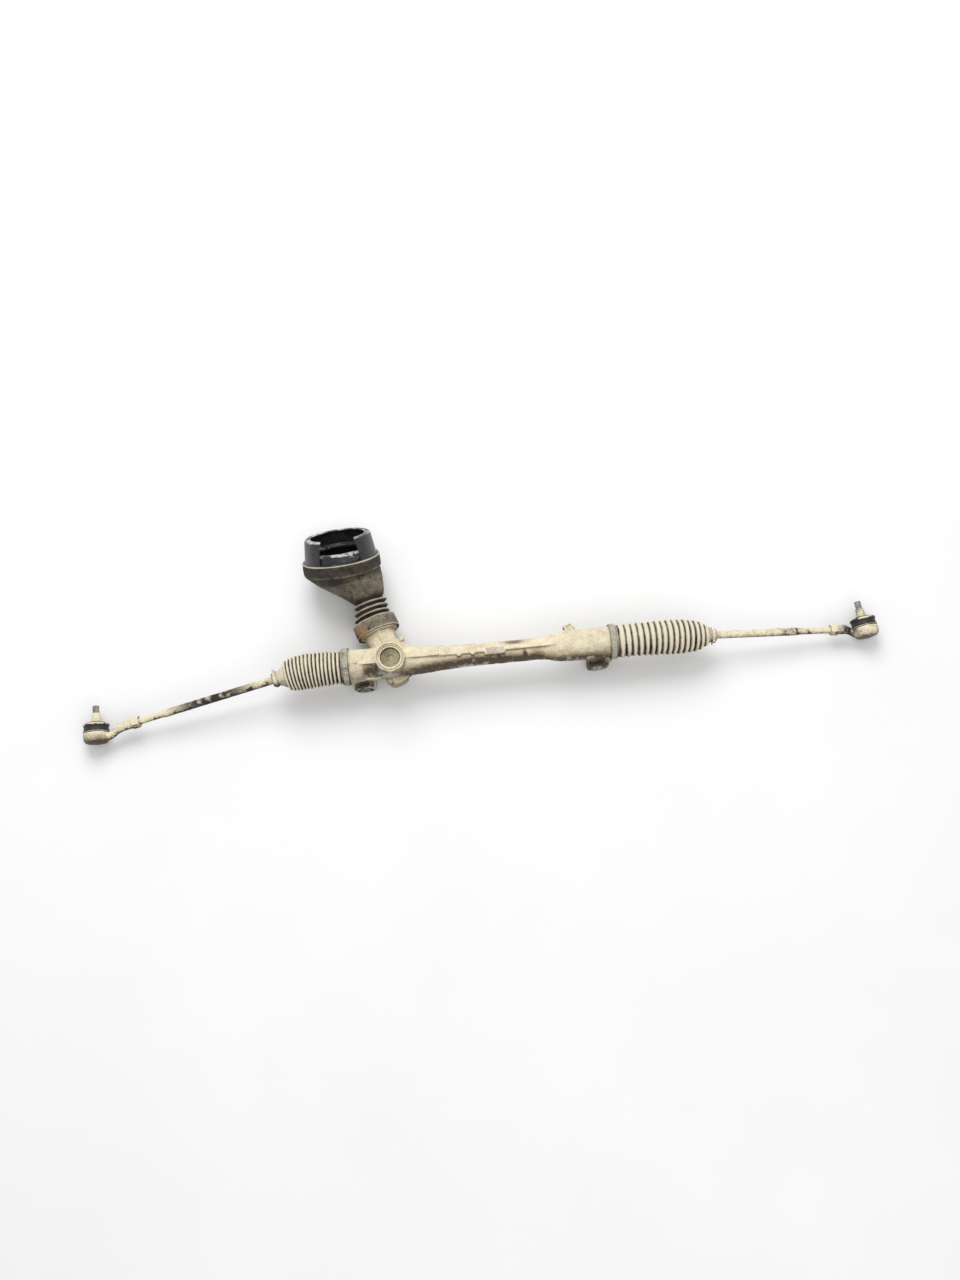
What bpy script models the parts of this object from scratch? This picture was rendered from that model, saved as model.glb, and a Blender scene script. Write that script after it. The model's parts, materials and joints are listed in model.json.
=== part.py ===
"""A car's rack-and-pinion steering gear with its tie rods, lying on its mounting bosses.

Every shape is first worked out in the gear's own axes: X runs along the rack, with zero at the
middle of the housing, Y runs along the pinion tower and Z points out of the rack guide's bore.
The rack's axis is the line y = z = 0. FRAME_SHIFT then moves everything to the frame's origin.
"""

import math

import bmesh
import bpy
import numpy as np
from mathutils import Matrix, Vector

for leftover in list(bpy.data.objects):
    bpy.data.objects.remove(leftover)

# --- placing in the frame
FRAME_SHIFT = Vector((-0.0048, -0.0737, 0.0495))

# --- housing
HOUSING_HALF = 0.199  # from the middle to the end that each bellows is clamped on
END_BORE_R, END_BORE_DEPTH = 0.0188, 0.040
RACK_BORE_R = 0.0142
LEFT_END_R, RIGHT_END_R, TUBE_R, NECK_TUBE_R = 0.0242, 0.0225, 0.0235, 0.0166
BUSH_SEAT_R, BUSH_SEAT_X = 0.0165, (0.138, 0.160)

# --- rack and pinion
RACK_R, RACK_HALF = 0.0130, 0.229
MODULE, PINION_TEETH = 0.002, 7
PITCH_R = MODULE * PINION_TEETH / 2
PRESSURE_ANGLE = math.radians(20)
PITCH_PLANE = -0.0085
PINION_Z = PITCH_PLANE - PITCH_R
PINION_X = -0.1285
PINION_LEAN = math.radians(18)
PINION_DIR = Vector((-math.sin(PINION_LEAN), math.cos(PINION_LEAN), 0))
PINION_POINT = Vector((PINION_X, 0, PINION_Z))
TOOTH_COUNT = 25
TOOTH_CLEARANCE = 0.00021
TOOTH_CUT_WIDTH = 0.09  # along the leaning teeth: the row of them drifts 25 mm across the bar

# --- rack guide
GUIDE_X = -0.1290
GUIDE_BORE_R, GUIDE_BOSS_R, GUIDE_BOSS_TOP = 0.0147, 0.0212, 0.0365
GUIDE_LEAD_R, GUIDE_LEAD_DEPTH = 0.0172, 0.0026

# --- mounting bosses
MOUNT_Z, MOUNT_Y = -0.033, (-0.030, 0.022)
MOUNT_BORE_R, SLEEVE_R, SLEEVE_BORE_R = 0.0125, 0.0075, 0.0052
MOUNTS = {"left": (-0.1715, 0.0165), "right": (0.1728, 0.0160)}

# --- tie rods
INNER_BALL_X = 0.259
OUTER_BALL_HEIGHT = -0.0305
SIDES = {"left": -1, "right": 1}
SWING = {"left": math.radians(10.6), "right": math.radians(1.7)}
ROD_LENGTH = {"left": 0.316, "right": 0.320}
ARM_LENGTH = {"left": 0.055, "right": 0.043}
STUD_LEAN = {"left": math.radians(0.0), "right": math.radians(6.0)}
THREAD_R = 0.0050
ROD_R = 0.0057
INNER_BALL_R, SEAT_WALL, BALL_GAP = 0.0115, 0.0017, 0.00045
SOCKET_R = 0.0162
OUTER_BALL_R, OUTER_HOUSING_R = 0.0105, 0.0190

# --- column cover
COVER_WALL = 0.003
RING_NORMAL = Vector((-0.05, 0.853, 0.522)).normalized()

# --- sides of a round piece
STEPS = 16
CUP_STEPS = 20
FINE_STEPS = 24
RING_STEPS = 28


def colour(name, rgb, roughness, metallic=0.0):
    material = bpy.data.materials.new(name)
    material.use_nodes = True
    shader = material.node_tree.nodes["Principled BSDF"]
    shader.inputs["Base Color"].default_value = (*rgb, 1)
    shader.inputs["Roughness"].default_value = roughness
    shader.inputs["Metallic"].default_value = metallic
    material.diffuse_color = (*rgb, 1)
    return material


CASTING = colour("muddy_casting", (0.66, 0.57, 0.42), 0.85, 0.1)
MUD_RUBBER = colour("muddy_rubber", (0.20, 0.17, 0.13), 0.9)
RUBBER = colour("black_rubber", (0.02, 0.02, 0.02), 0.7)
DARK_PLASTIC = colour("dark_plastic", (0.05, 0.055, 0.06), 0.45)
SEAT_PLASTIC = colour("seat_plastic", (0.75, 0.73, 0.66), 0.5)
STEEL = colour("machined_steel", (0.55, 0.54, 0.52), 0.35, 1.0)
BAND_STEEL = colour("band_steel", (0.42, 0.40, 0.36), 0.45, 1.0)
MUD_STEEL = colour("muddy_steel", (0.50, 0.43, 0.32), 0.8, 0.2)
DARK_STEEL = colour("dark_steel", (0.10, 0.095, 0.09), 0.5, 0.8)


# --------------------------------------------------------------------------- mesh helpers


def frame_of(direction):
    """Columns: two directions across `direction`, then `direction` itself. The first one is
    as near to +X as it can be, or to +Z for a direction along X."""
    along = Vector(direction).normalized()
    hint = Vector((0, 0, 1)) if abs(along.x) > 0.8 else Vector((1, 0, 0))
    second = along.cross(hint).normalized()
    first = second.cross(along)
    return Matrix((first, second, along)).transposed()


def mesh_object(name, points, faces):
    mesh = bpy.data.meshes.new(name)
    mesh.from_pydata([tuple(p) for p in points], [], faces)
    made = bmesh.new()
    made.from_mesh(mesh)
    bmesh.ops.recalc_face_normals(made, faces=made.faces)
    if made.calc_volume(signed=True) < 0:
        bmesh.ops.reverse_faces(made, faces=made.faces)
    made.to_mesh(mesh)
    made.free()
    thing = bpy.data.objects.new(name, mesh)
    bpy.context.scene.collection.objects.link(thing)
    return thing


def skinned(name, rings, wrap):
    """A skin through rings of points. A ring of one point is a pole. `wrap` joins the last
    ring to the first; without it, open end rings are closed with a flat cap."""
    points, starts, faces = [], [], []
    for ring in rings:
        starts.append(len(points))
        points.extend(ring)
    pairs = list(zip(range(len(rings) - 1), range(1, len(rings))))
    if wrap:
        pairs.append((len(rings) - 1, 0))
    for low, high in pairs:
        a, b, n, m = starts[low], starts[high], len(rings[low]), len(rings[high])
        for i in range(max(n, m)):
            j = (i + 1) % max(n, m)
            if n == 1:
                faces.append((a, b + i, b + j))
            elif m == 1:
                faces.append((a + i, a + j, b))
            else:
                faces.append((a + i, a + j, b + j, b + i))
    if not wrap:
        for k in (0, len(rings) - 1):
            if len(rings[k]) > 1:
                faces.append(tuple(range(starts[k], starts[k] + len(rings[k]))))
    return mesh_object(name, points, faces)


def circle(centre, direction, radius, steps=STEPS, turn=0.0):
    if radius < 1e-9:
        return [Vector(centre)]
    axes = frame_of(direction)
    ring = []
    for i in range(steps):
        a = 2 * math.pi * i / steps + turn
        ring.append(Vector(centre) + axes @ Vector((radius * math.cos(a), radius * math.sin(a), 0)))
    return ring


def turned(name, centre, direction, profile, steps=STEPS, hollow=False, turn=0.0):
    """A turned piece from (radius, distance along the axis) pairs. A hollow one's profile goes
    right round its section."""
    along = Vector(direction).normalized()
    rings = [
        circle(Vector(centre) + along * h, along, r, steps, turn) for r, h in profile
    ]
    return skinned(name, rings, hollow)


def rod(name, start, end, radius, end_radius=None, steps=STEPS, turn=0.0):
    start, end = Vector(start), Vector(end)
    length = (end - start).length
    profile = [(radius, 0), (radius if end_radius is None else end_radius, length)]
    return turned(name, start, end - start, profile, steps, turn=turn)


def tube(name, centre, direction, inner, outer, low, high, steps=STEPS):
    profile = [(outer, low), (outer, high), (inner, high), (inner, low)]
    return turned(name, centre, direction, profile, steps, hollow=True)


def block(name, low, high, axes=None, centre=(0, 0, 0)):
    axes = Matrix.Identity(3) if axes is None else axes
    corners = [
        Vector(centre) + axes @ Vector((x, y, z))
        for x in (low[0], high[0])
        for y in (low[1], high[1])
        for z in (low[2], high[2])
    ]
    faces = [(0, 1, 3, 2), (4, 6, 7, 5), (0, 4, 5, 1), (2, 3, 7, 6), (0, 2, 6, 4), (1, 5, 7, 3)]
    return mesh_object(name, corners, faces)


def prism(name, outline, depth, axes, centre):
    """A flat outline drawn on the first two axes, carried half of `depth` each way along the
    third."""
    rings = [
        [Vector(centre) + axes @ Vector((u, v, w)) for u, v in outline]
        for w in (-depth / 2, depth / 2)
    ]
    return skinned(name, rings, False)


def combined(target, others, operation):
    """The target with the others united with it or cut from it. The others are used up."""
    for other in others:
        modifier = target.modifiers.new("cut", "BOOLEAN")
        modifier.operation = operation
        modifier.solver = "EXACT"
        modifier.object = other
        bpy.context.view_layer.update()
        graph = bpy.context.evaluated_depsgraph_get()
        result = bpy.data.meshes.new_from_object(target.evaluated_get(graph))
        target.modifiers.remove(modifier)
        spare = target.data
        target.data = result
        bpy.data.meshes.remove(spare)
        bpy.data.objects.remove(other)
    return target


def node(thing, material, pivot=(0, 0, 0)):
    """Ends a piece: its material, its origin at `pivot`, and its place in the frame."""
    thing.data.materials.clear()
    thing.data.materials.append(material)
    thing.data.transform(Matrix.Translation(-Vector(pivot)))
    thing.location = Vector(pivot) + FRAME_SHIFT
    return thing


# --------------------------------------------------------------------------- housing


def rack_housing():
    profile = [
        (LEFT_END_R, -HOUSING_HALF),
        (LEFT_END_R, -0.176),
        (0.0228, -0.174),
        (0.0228, -0.155),
        (TUBE_R, -0.145),
        (TUBE_R, -0.108),
        (0.0205, -0.070),
        (NECK_TUBE_R, -0.022),
        (NECK_TUBE_R, 0.088),
        (0.0190, 0.105),
        (RIGHT_END_R, 0.127),
        (RIGHT_END_R, HOUSING_HALF),
    ]
    body = turned("rack_housing", (0, 0, 0), (1, 0, 0), profile, FINE_STEPS)
    adds = [
        rod("guide_boss", (GUIDE_X, 0, -0.004), (GUIDE_X, 0, GUIDE_BOSS_TOP), GUIDE_BOSS_R, steps=FINE_STEPS),
        turned(
            "tower",
            PINION_POINT,
            PINION_DIR,
            [
                (0.0165, -0.0272),
                (0.0185, -0.012),
                (0.0225, 0.004),
                (0.0228, 0.049),
                (0.0290, 0.051),
                (0.0290, 0.0605),
            ],
            FINE_STEPS,
        ),
        block("parting_rib", (-0.120, -0.0065, 0.004), (0.122, -0.0035, 0.0205)),
        block("data_pad", (0.010, -0.0125, 0.008), (0.038, -0.002, 0.0190)),
        prism(
            "gusset",
            [(-0.006, 0.012), (0.041, 0.018), (-0.012, 0.047)],
            0.007,
            Matrix.Identity(3),
            (PINION_X, 0, -0.008),
        ),
        block(
            "top_lug",
            (-0.0075, -0.0060, -0.0070),
            (0.0075, 0.0060, 0.0070),
            Matrix.Rotation(math.radians(28), 3, "Z"),
            (0.1335, 0.0265, 0.002),
        ),
    ]
    for side, (x, radius) in MOUNTS.items():
        adds.append(rod(side, (x, MOUNT_Y[0], MOUNT_Z), (x, MOUNT_Y[1], MOUNT_Z), radius))
        adds.append(block(side, (x - 0.0125, -0.016, -0.026), (x + 0.0125, 0.016, -0.012)))
    body = combined(body, adds, "UNION")
    low, high = BUSH_SEAT_X
    cuts = [
        rod("rack_bore", (-0.25, 0, 0), (0.25, 0, 0), RACK_BORE_R, steps=FINE_STEPS),
        rod("left_bore", (-0.25, 0, 0), (END_BORE_DEPTH - HOUSING_HALF, 0, 0), END_BORE_R, steps=FINE_STEPS),
        rod("right_bore", (HOUSING_HALF - END_BORE_DEPTH, 0, 0), (0.25, 0, 0), END_BORE_R, steps=FINE_STEPS),
        rod("bush_seat", (low, 0, 0), (high, 0, 0), BUSH_SEAT_R, steps=FINE_STEPS),
        rod("guide_bore", (GUIDE_X, 0, 0), (GUIDE_X, 0, 0.06), GUIDE_BORE_R, steps=FINE_STEPS),
        rod(
            "guide_bore_lead",
            (GUIDE_X, 0, GUIDE_BOSS_TOP - GUIDE_LEAD_DEPTH),
            (GUIDE_X, 0, 0.06),
            GUIDE_LEAD_R,
            steps=FINE_STEPS,
            turn=0.05,
        ),
        turned(
            "pinion_bore",
            PINION_POINT,
            PINION_DIR,
            [
                (0.0106, -0.04),
                (0.0106, 0.0165),
                (0.0176, 0.0166),
                (0.0176, 0.0345),
                (0.0196, 0.0346),
                (0.0196, 0.07),
            ],
            FINE_STEPS,
            turn=0.04,
        ),
        rod("lug_hole", (0.1335, 0.02, 0.002), (0.1345, 0.04, 0.002), 0.0031, steps=12),
    ]
    for side, (x, radius) in MOUNTS.items():
        cuts.append(rod(side, (x, -0.05, MOUNT_Z), (x, 0.05, MOUNT_Z), MOUNT_BORE_R))
    return combined(body, cuts, "DIFFERENCE")


def mount_pieces(side, x):
    low, high = MOUNT_Y
    bush = tube(
        f"{side}_mount_bush",
        (x, 0, MOUNT_Z),
        (0, 1, 0),
        SLEEVE_R + 0.0003,
        MOUNT_BORE_R - 0.0003,
        low + 0.001,
        high - 0.001,
    )
    sleeve = tube(
        f"{side}_mount_sleeve",
        (x, 0, MOUNT_Z),
        (0, 1, 0),
        SLEEVE_BORE_R,
        SLEEVE_R,
        low - 0.0008,
        high + 0.0008,
    )
    node(bush, RUBBER)
    node(sleeve, STEEL)


# --------------------------------------------------------------------------- rack and pinion


def rack_tooth_cutter():
    """What is cut from the bar to leave its teeth: everything under the pitch plane between
    them, drawn square to the pinion's axis."""
    pitch = math.pi * MODULE
    slope = math.tan(PRESSURE_ANGLE)
    tip, root = PITCH_PLANE - 0.9 * MODULE, PITCH_PLANE + 1.25 * MODULE
    half_tip = pitch / 4 - 0.9 * MODULE * slope
    half_root = pitch / 4 + 1.25 * MODULE * slope
    outline = []
    last = (TOOTH_COUNT - 1) / 2
    for k in range(TOOTH_COUNT):
        middle = (k - last) * pitch
        outline += [
            (middle - half_root, root),
            (middle - half_tip, tip),
            (middle + half_tip, tip),
            (middle + half_root, root),
        ]
    first_x, last_x = outline[0][0] - 0.0012, outline[-1][0] + 0.0012
    outline = [(first_x, root), *outline, (last_x, root), (last_x, -0.03), (first_x, -0.03)]
    across = Vector((math.cos(PINION_LEAN), math.sin(PINION_LEAN), 0))
    axes = Matrix((across, Vector((0, 0, 1)), PINION_DIR)).transposed()
    return prism("tooth_cutter", outline, TOOTH_CUT_WIDTH, axes, (PINION_X, 0, 0))


def rack_bar():
    end, stub = RACK_HALF, RACK_HALF + 0.0115
    profile = [
        (0.0068, -stub),
        (0.0068, -end),
        (0.0110, -end),
        (RACK_R, -end + 0.003),
        (RACK_R, end - 0.003),
        (0.0110, end),
        (0.0068, end),
        (0.0068, stub),
    ]
    bar = turned("rack_bar", (0, 0, 0), (1, 0, 0), profile, FINE_STEPS)
    return combined(bar, [rack_tooth_cutter()], "DIFFERENCE")


def pinion_outline(samples_per_tooth=10, roll_steps=241):
    """Radius against angle, as the rack's own teeth would cut it while it rolls past. The
    cutting is worked out for the sector of one tooth, which then repeats."""
    pitch = math.pi * MODULE
    slope = math.tan(PRESSURE_ANGLE)
    deep = 0.9 * MODULE + 1.2 * TOOTH_CLEARANCE
    half_at_pitch = pitch / 4 + TOOTH_CLEARANCE / math.cos(PRESSURE_ANGLE)
    radii = np.linspace(0.35 * PITCH_R, PITCH_R + 1.0 * MODULE, 160)
    sector = 2 * math.pi / PINION_TEETH
    tooth = []
    for i in range(samples_per_tooth):
        angle = sector * (i / samples_per_tooth - 0.5)
        allowed = np.ones(len(radii), bool)
        for roll in np.linspace(-math.pi / 2, math.pi / 2, roll_steps):
            along = radii * math.sin(angle + roll)
            height = radii * math.cos(angle + roll)
            shifted = (along - PITCH_R * roll + pitch / 2) % pitch - pitch / 2
            half = half_at_pitch + (height - PITCH_R) * slope
            inside = (height > PITCH_R - deep) & (np.abs(shifted) < half)
            allowed &= ~inside
        blocked = np.flatnonzero(~allowed)
        radius = radii[blocked[0] - 1] if len(blocked) else radii[-1]
        tooth.append((radius, angle))
    return [(radius, angle + sector * k) for k in range(PINION_TEETH) for radius, angle in tooth]


def pinion_shaft():
    outline = pinion_outline()
    axes = Matrix(
        (Vector((math.cos(PINION_LEAN), math.sin(PINION_LEAN), 0)), Vector((0, 0, 1)), PINION_DIR)
    ).transposed()
    points = [(r * math.sin(a), r * math.cos(a)) for r, a in outline]
    teeth = prism("teeth", points, 0.0284, axes, PINION_POINT)
    shaft = turned(
        "pinion_shaft",
        PINION_POINT,
        PINION_DIR,
        [
            (0.0058, -0.0238),
            (0.0058, -0.0130),
            (0.0044, -0.0130),
            (0.0044, 0.0130),
            (0.0078, 0.0132),
            (0.0098, 0.0160),
            (0.0098, 0.0330),
            (0.0088, 0.0340),
            (0.0088, 0.0660),
            (0.0070, 0.0670),
            (0.0070, 0.0700),
            (0.0085, 0.0710),
            (0.0085, 0.0950),
            (0.0077, 0.0965),
        ],
        FINE_STEPS,
    )
    shaft = combined(shaft, [teeth], "UNION")
    grooves = []
    for i in range(12):
        spoke = Matrix.Rotation(2 * math.pi * i / 12, 3, PINION_DIR) @ Vector((0, 0, 1))
        side = PINION_DIR.cross(spoke)
        slot = Matrix((side, spoke, PINION_DIR)).transposed()
        corner = ((-0.0007, 0.0077, 0.0735), (0.0007, 0.0100, 0.0980))
        grooves.append(block("groove", corner[0], corner[1], slot, PINION_POINT))
    return combined(shaft, grooves, "DIFFERENCE")


def pinion_fittings():
    def ring(name, inner, outer, low, high, material):
        node(tube(name, PINION_POINT, PINION_DIR, inner, outer, low, high), material)

    ring("pinion_lower_bearing", 0.0061, 0.0103, -0.0232, -0.0160, STEEL)
    ring("pinion_upper_bearing", 0.0101, 0.0173, 0.0172, 0.0300, STEEL)
    ring("bearing_retainer", 0.0120, 0.0173, 0.0304, 0.0340, DARK_STEEL)
    ring("pinion_seal", 0.0091, 0.0193, 0.0380, 0.0450, RUBBER)
    ring("pinion_dust_cap", 0.0093, 0.0193, 0.0480, 0.0640, DARK_PLASTIC)
    plug = turned(
        "lower_bearing_plug",
        PINION_POINT,
        PINION_DIR,
        [(0.0060, -0.0316), (0.0135, -0.0316), (0.0135, -0.0276), (0.0102, -0.0276), (0.0102, -0.0250)],
    )
    node(plug, MUD_STEEL)


# --------------------------------------------------------------------------- rack guide


def guide_pieces():
    guide = turned(
        "rack_guide",
        (GUIDE_X, 0, 0),
        (0, 0, 1),
        [
            (0.0143, 0.0020),
            (0.0143, 0.0185),
            (0.0128, 0.0186),
            (0.0128, 0.0206),
            (0.0143, 0.0207),
            (0.0143, 0.0230),
            (0.0083, 0.0230),
            (0.0083, 0.0168),
        ],
    )
    saddle = rod("saddle", (GUIDE_X - 0.02, 0, 0), (GUIDE_X + 0.02, 0, 0), RACK_R + 0.0013, steps=FINE_STEPS)
    node(combined(guide, [saddle], "DIFFERENCE"), STEEL)
    liner = tube(
        "guide_liner", (GUIDE_X, 0, 0), (1, 0, 0), RACK_R + 0.0002, RACK_R + 0.0010, -0.008, 0.008, FINE_STEPS
    )
    below = block("below", (GUIDE_X - 0.03, -0.03, -0.03), (GUIDE_X + 0.03, 0.03, 0.0050))
    node(combined(liner, [below], "DIFFERENCE"), SEAT_PLASTIC)
    ring = tube("guide_o_ring", (GUIDE_X, 0, 0), (0, 0, 1), 0.0130, 0.0144, 0.0188, 0.0204)
    node(ring, RUBBER)
    plug = turned(
        "guide_adjuster",
        (GUIDE_X, 0, 0),
        (0, 0, 1),
        [
            (0.0130, 0.0242),
            (0.0142, 0.0250),
            (0.0142, 0.0292),
            (0.0130, 0.0300),
            (0.0105, 0.0300),
            (0.0100, 0.0285),
            (0.0060, 0.0285),
            (0.0060, 0.0262),
        ],
    )
    node(plug, MUD_STEEL)
    node(guide_spring(), DARK_STEEL)


def guide_spring(turns=3.0, wire=0.0008, coil=0.0062, low=0.0179, high=0.0230, steps=27):
    rings = []
    for i in range(steps + 1):
        share = i / steps
        a = 2 * math.pi * turns * share
        centre = Vector((GUIDE_X + coil * math.cos(a), coil * math.sin(a), low + (high - low) * share))
        rise = (high - low) / (2 * math.pi * turns)
        heading = Vector((-coil * math.sin(a), coil * math.cos(a), rise)).normalized()
        outwards = Vector((math.cos(a), math.sin(a), 0))
        upwards = heading.cross(outwards)
        ring = []
        for k in range(5):
            b = 2 * math.pi * k / 5
            ring.append(centre + outwards * wire * math.cos(b) + upwards * wire * math.sin(b))
        rings.append(ring)
    return skinned("guide_spring", rings, False)


# --------------------------------------------------------------------------- tie rods


def rod_direction(side):
    droop = math.asin(-OUTER_BALL_HEIGHT / ROD_LENGTH[side])
    flat, swing = math.cos(droop), SWING[side]
    across = SIDES[side] * math.cos(swing) * flat
    return Vector((across, -math.sin(swing) * flat, -math.sin(droop)))


def ball_arc(radius, low, high, steps):
    """(radius, height) pairs on a ball from one height to another."""
    first, last = math.asin(low / radius), math.asin(high / radius)
    angles = [first + (last - first) * i / steps for i in range(steps + 1)]
    return [(radius * math.cos(a), radius * math.sin(a)) for a in angles]


def seat(name, centre, direction, ball_r, low, high):
    """The plastic cup round a ball: two part spheres with an opening at each end."""
    inner, outer = ball_r + BALL_GAP, ball_r + BALL_GAP + SEAT_WALL
    outside = ball_arc(outer, low * outer, high, 4)
    inside = ball_arc(inner, low * outer, high, 4)
    return turned(name, centre, direction, outside + inside[::-1], hollow=True)


def inner_socket(side, sign):
    """The socket on the rack's end: a spherical hollow that opens outboard."""
    ball = Vector((sign * INNER_BALL_X, 0, 0))
    cavity = INNER_BALL_R + SEAT_WALL + 2 * BALL_GAP
    back = RACK_HALF + 0.0008 - INNER_BALL_X
    outside = [
        (0.0072, back),
        (0.0145, back),
        (SOCKET_R, back + 0.002),
        (SOCKET_R, 0.004),
        (0.0146, 0.0095),
    ]
    hollow = [(0.0131, 0.0097), *ball_arc(cavity, -0.97 * cavity, 0.0068, 6)[::-1]]
    hollow += [(0.0036, -0.0165), (0.0072, -0.0175)]
    return turned(f"{side}_inner_socket", ball, (sign, 0, 0), outside + hollow, hollow=True)


def lock_washer(side, sign):
    at = Vector((sign * RACK_HALF, 0, 0))
    return tube(f"{side}_lock_washer", at, (sign, 0, 0), 0.0071, 0.0128, 0.0002, 0.0006)


def tie_rod(side):
    sign = SIDES[side]
    ball = Vector((sign * INNER_BALL_X, 0, 0))
    heading = rod_direction(side)
    profile = [(0.0, -INNER_BALL_R)]
    profile += ball_arc(INNER_BALL_R, -0.93 * INNER_BALL_R, 0.0098, 7)
    length = ROD_LENGTH[side]
    profile += [
        (0.0060, 0.0125),
        (ROD_R, 0.018),
        (ROD_R, length - 0.104),
        (THREAD_R, length - 0.102),
        (THREAD_R, length - 0.033),
        (0.0042, length - 0.032),
    ]
    return turned(f"{side}_tie_rod", ball, heading, profile)


def hexagon(name, centre, heading, across, bore, low, high):
    outer = circle(centre + heading * low, heading, across / math.sqrt(3), 6)
    far = circle(centre + heading * high, heading, across / math.sqrt(3), 6)
    body = skinned(name, [outer, far], False)
    ends = centre + heading * (low - 0.01), centre + heading * (high + 0.01)
    hole = rod("hole", *ends, bore, steps=CUP_STEPS)
    return combined(body, [hole], "DIFFERENCE")


def stud_axis(side):
    lean = STUD_LEAN[side]
    return Vector((-math.sin(lean), math.cos(lean), 0))


def outer_arm(side, centre):
    """The rod end's arm: it leaves the cup low down, then bends up into line with the rod."""
    back, up = -rod_direction(side), stud_axis(side)
    level = (back - up * back.dot(up)).normalized()
    slope = back.dot(up) / back.dot(level)
    end = ARM_LENGTH[side] * back.dot(level)
    stations = [
        (0.008, -0.0052, 0.0056),
        (0.019, -0.0046, 0.0056),
        (0.023, 0.5 * (0.023 * slope - 0.0040), 0.0060),
        (0.029, 0.029 * slope, 0.0071),
        (end - 0.001, (end - 0.001) * slope, 0.0071),
        (end, end * slope, 0.0066),
    ]
    rings = []
    for k, (along, height, radius) in enumerate(stations):
        middle = centre + level * along + up * height
        rings.append(circle(middle, level.lerp(back, k / (len(stations) - 1)), radius))
    return skinned("arm", rings, False)


def outer_housing(side, centre):
    """The rod end: a cup round the ball, open along the stud, and its threaded arm."""
    cavity = OUTER_BALL_R + SEAT_WALL + 2 * BALL_GAP
    cup = turned(
        f"{side}_outer_housing",
        centre,
        stud_axis(side),
        [
            (0.0150, -0.0125),
            (0.0172, -0.0108),
            (0.0187, -0.0070),
            (OUTER_HOUSING_R, -0.0030),
            (OUTER_HOUSING_R, 0.0012),
            (0.0150, 0.0018),
            (0.0150, 0.0098),
        ],
        CUP_STEPS,
    )
    cup = combined(cup, [outer_arm(side, centre)], "UNION")
    profile = [(0.0132, -0.0170), (0.0132, -0.0001)]
    profile += ball_arc(cavity, 0.0, 0.0072, 2)
    profile += [(0.0098, 0.0080), (0.0116, 0.0120)]
    hollow = turned("hollow", centre, stud_axis(side), profile, CUP_STEPS)
    back = -rod_direction(side)
    thread = rod("thread", centre + back * 0.027, centre + back * 0.12, THREAD_R + 0.0003)
    return combined(cup, [hollow, thread], "DIFFERENCE")


def outer_pieces(side):
    axis = stud_axis(side)
    inner = Vector((SIDES[side] * INNER_BALL_X, 0, 0))
    centre = inner + rod_direction(side) * ROD_LENGTH[side]
    node(outer_housing(side, centre), MUD_STEEL, inner)
    plate = turned(
        f"{side}_outer_plug",
        centre,
        axis,
        [(0.0, -0.0140), (0.0090, -0.0138), (0.0126, -0.0128), (0.0126, -0.0112), (0.0, -0.0112)],
    )
    node(plate, MUD_STEEL, inner)
    cup = seat(f"{side}_outer_seat", centre, axis, OUTER_BALL_R, -0.58, 0.0030)
    node(cup, SEAT_PLASTIC, centre)
    stud = turned(
        f"{side}_ball_stud",
        centre,
        axis,
        [
            (0.0, -OUTER_BALL_R),
            *ball_arc(OUTER_BALL_R, -0.93 * OUTER_BALL_R, 0.0090, 7),
            (0.0054, 0.0110),
            (0.0054, 0.0140),
            (0.0080, 0.0158),
            (0.0080, 0.0175),
            (0.0069, 0.0178),
            (0.0060, 0.0310),
            (0.0050, 0.0318),
            (0.0050, 0.0417),
            (0.0043, 0.0425),
        ],
    )
    node(stud, MUD_STEEL, centre)
    boot = turned(
        f"{side}_dust_boot",
        centre,
        axis,
        [
            (0.0176, 0.0021),
            (0.0176, 0.0038),
            (0.0185, 0.0043),
            (0.0174, 0.0085),
            (0.0186, 0.0126),
            (0.0186, 0.0148),
            (0.0112, 0.0162),
            (0.0100, 0.0166),
            (0.0100, 0.0185),
            (0.0085, 0.0185),
            (0.0085, 0.0162),
            (0.0110, 0.0140),
            (0.0166, 0.0126),
            (0.0157, 0.0085),
            (0.0155, 0.0021),
        ],
        hollow=True,
    )
    node(boot, RUBBER, inner)
    lower = tube(f"{side}_boot_ring", centre, axis, 0.0179, 0.0187, 0.0022, 0.0036)
    node(lower, BAND_STEEL, inner)
    upper = tube(f"{side}_boot_clip", centre, axis, 0.0103, 0.0111, 0.0170, 0.0182)
    node(upper, BAND_STEEL, centre)


# --------------------------------------------------------------------------- soft covers


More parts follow.
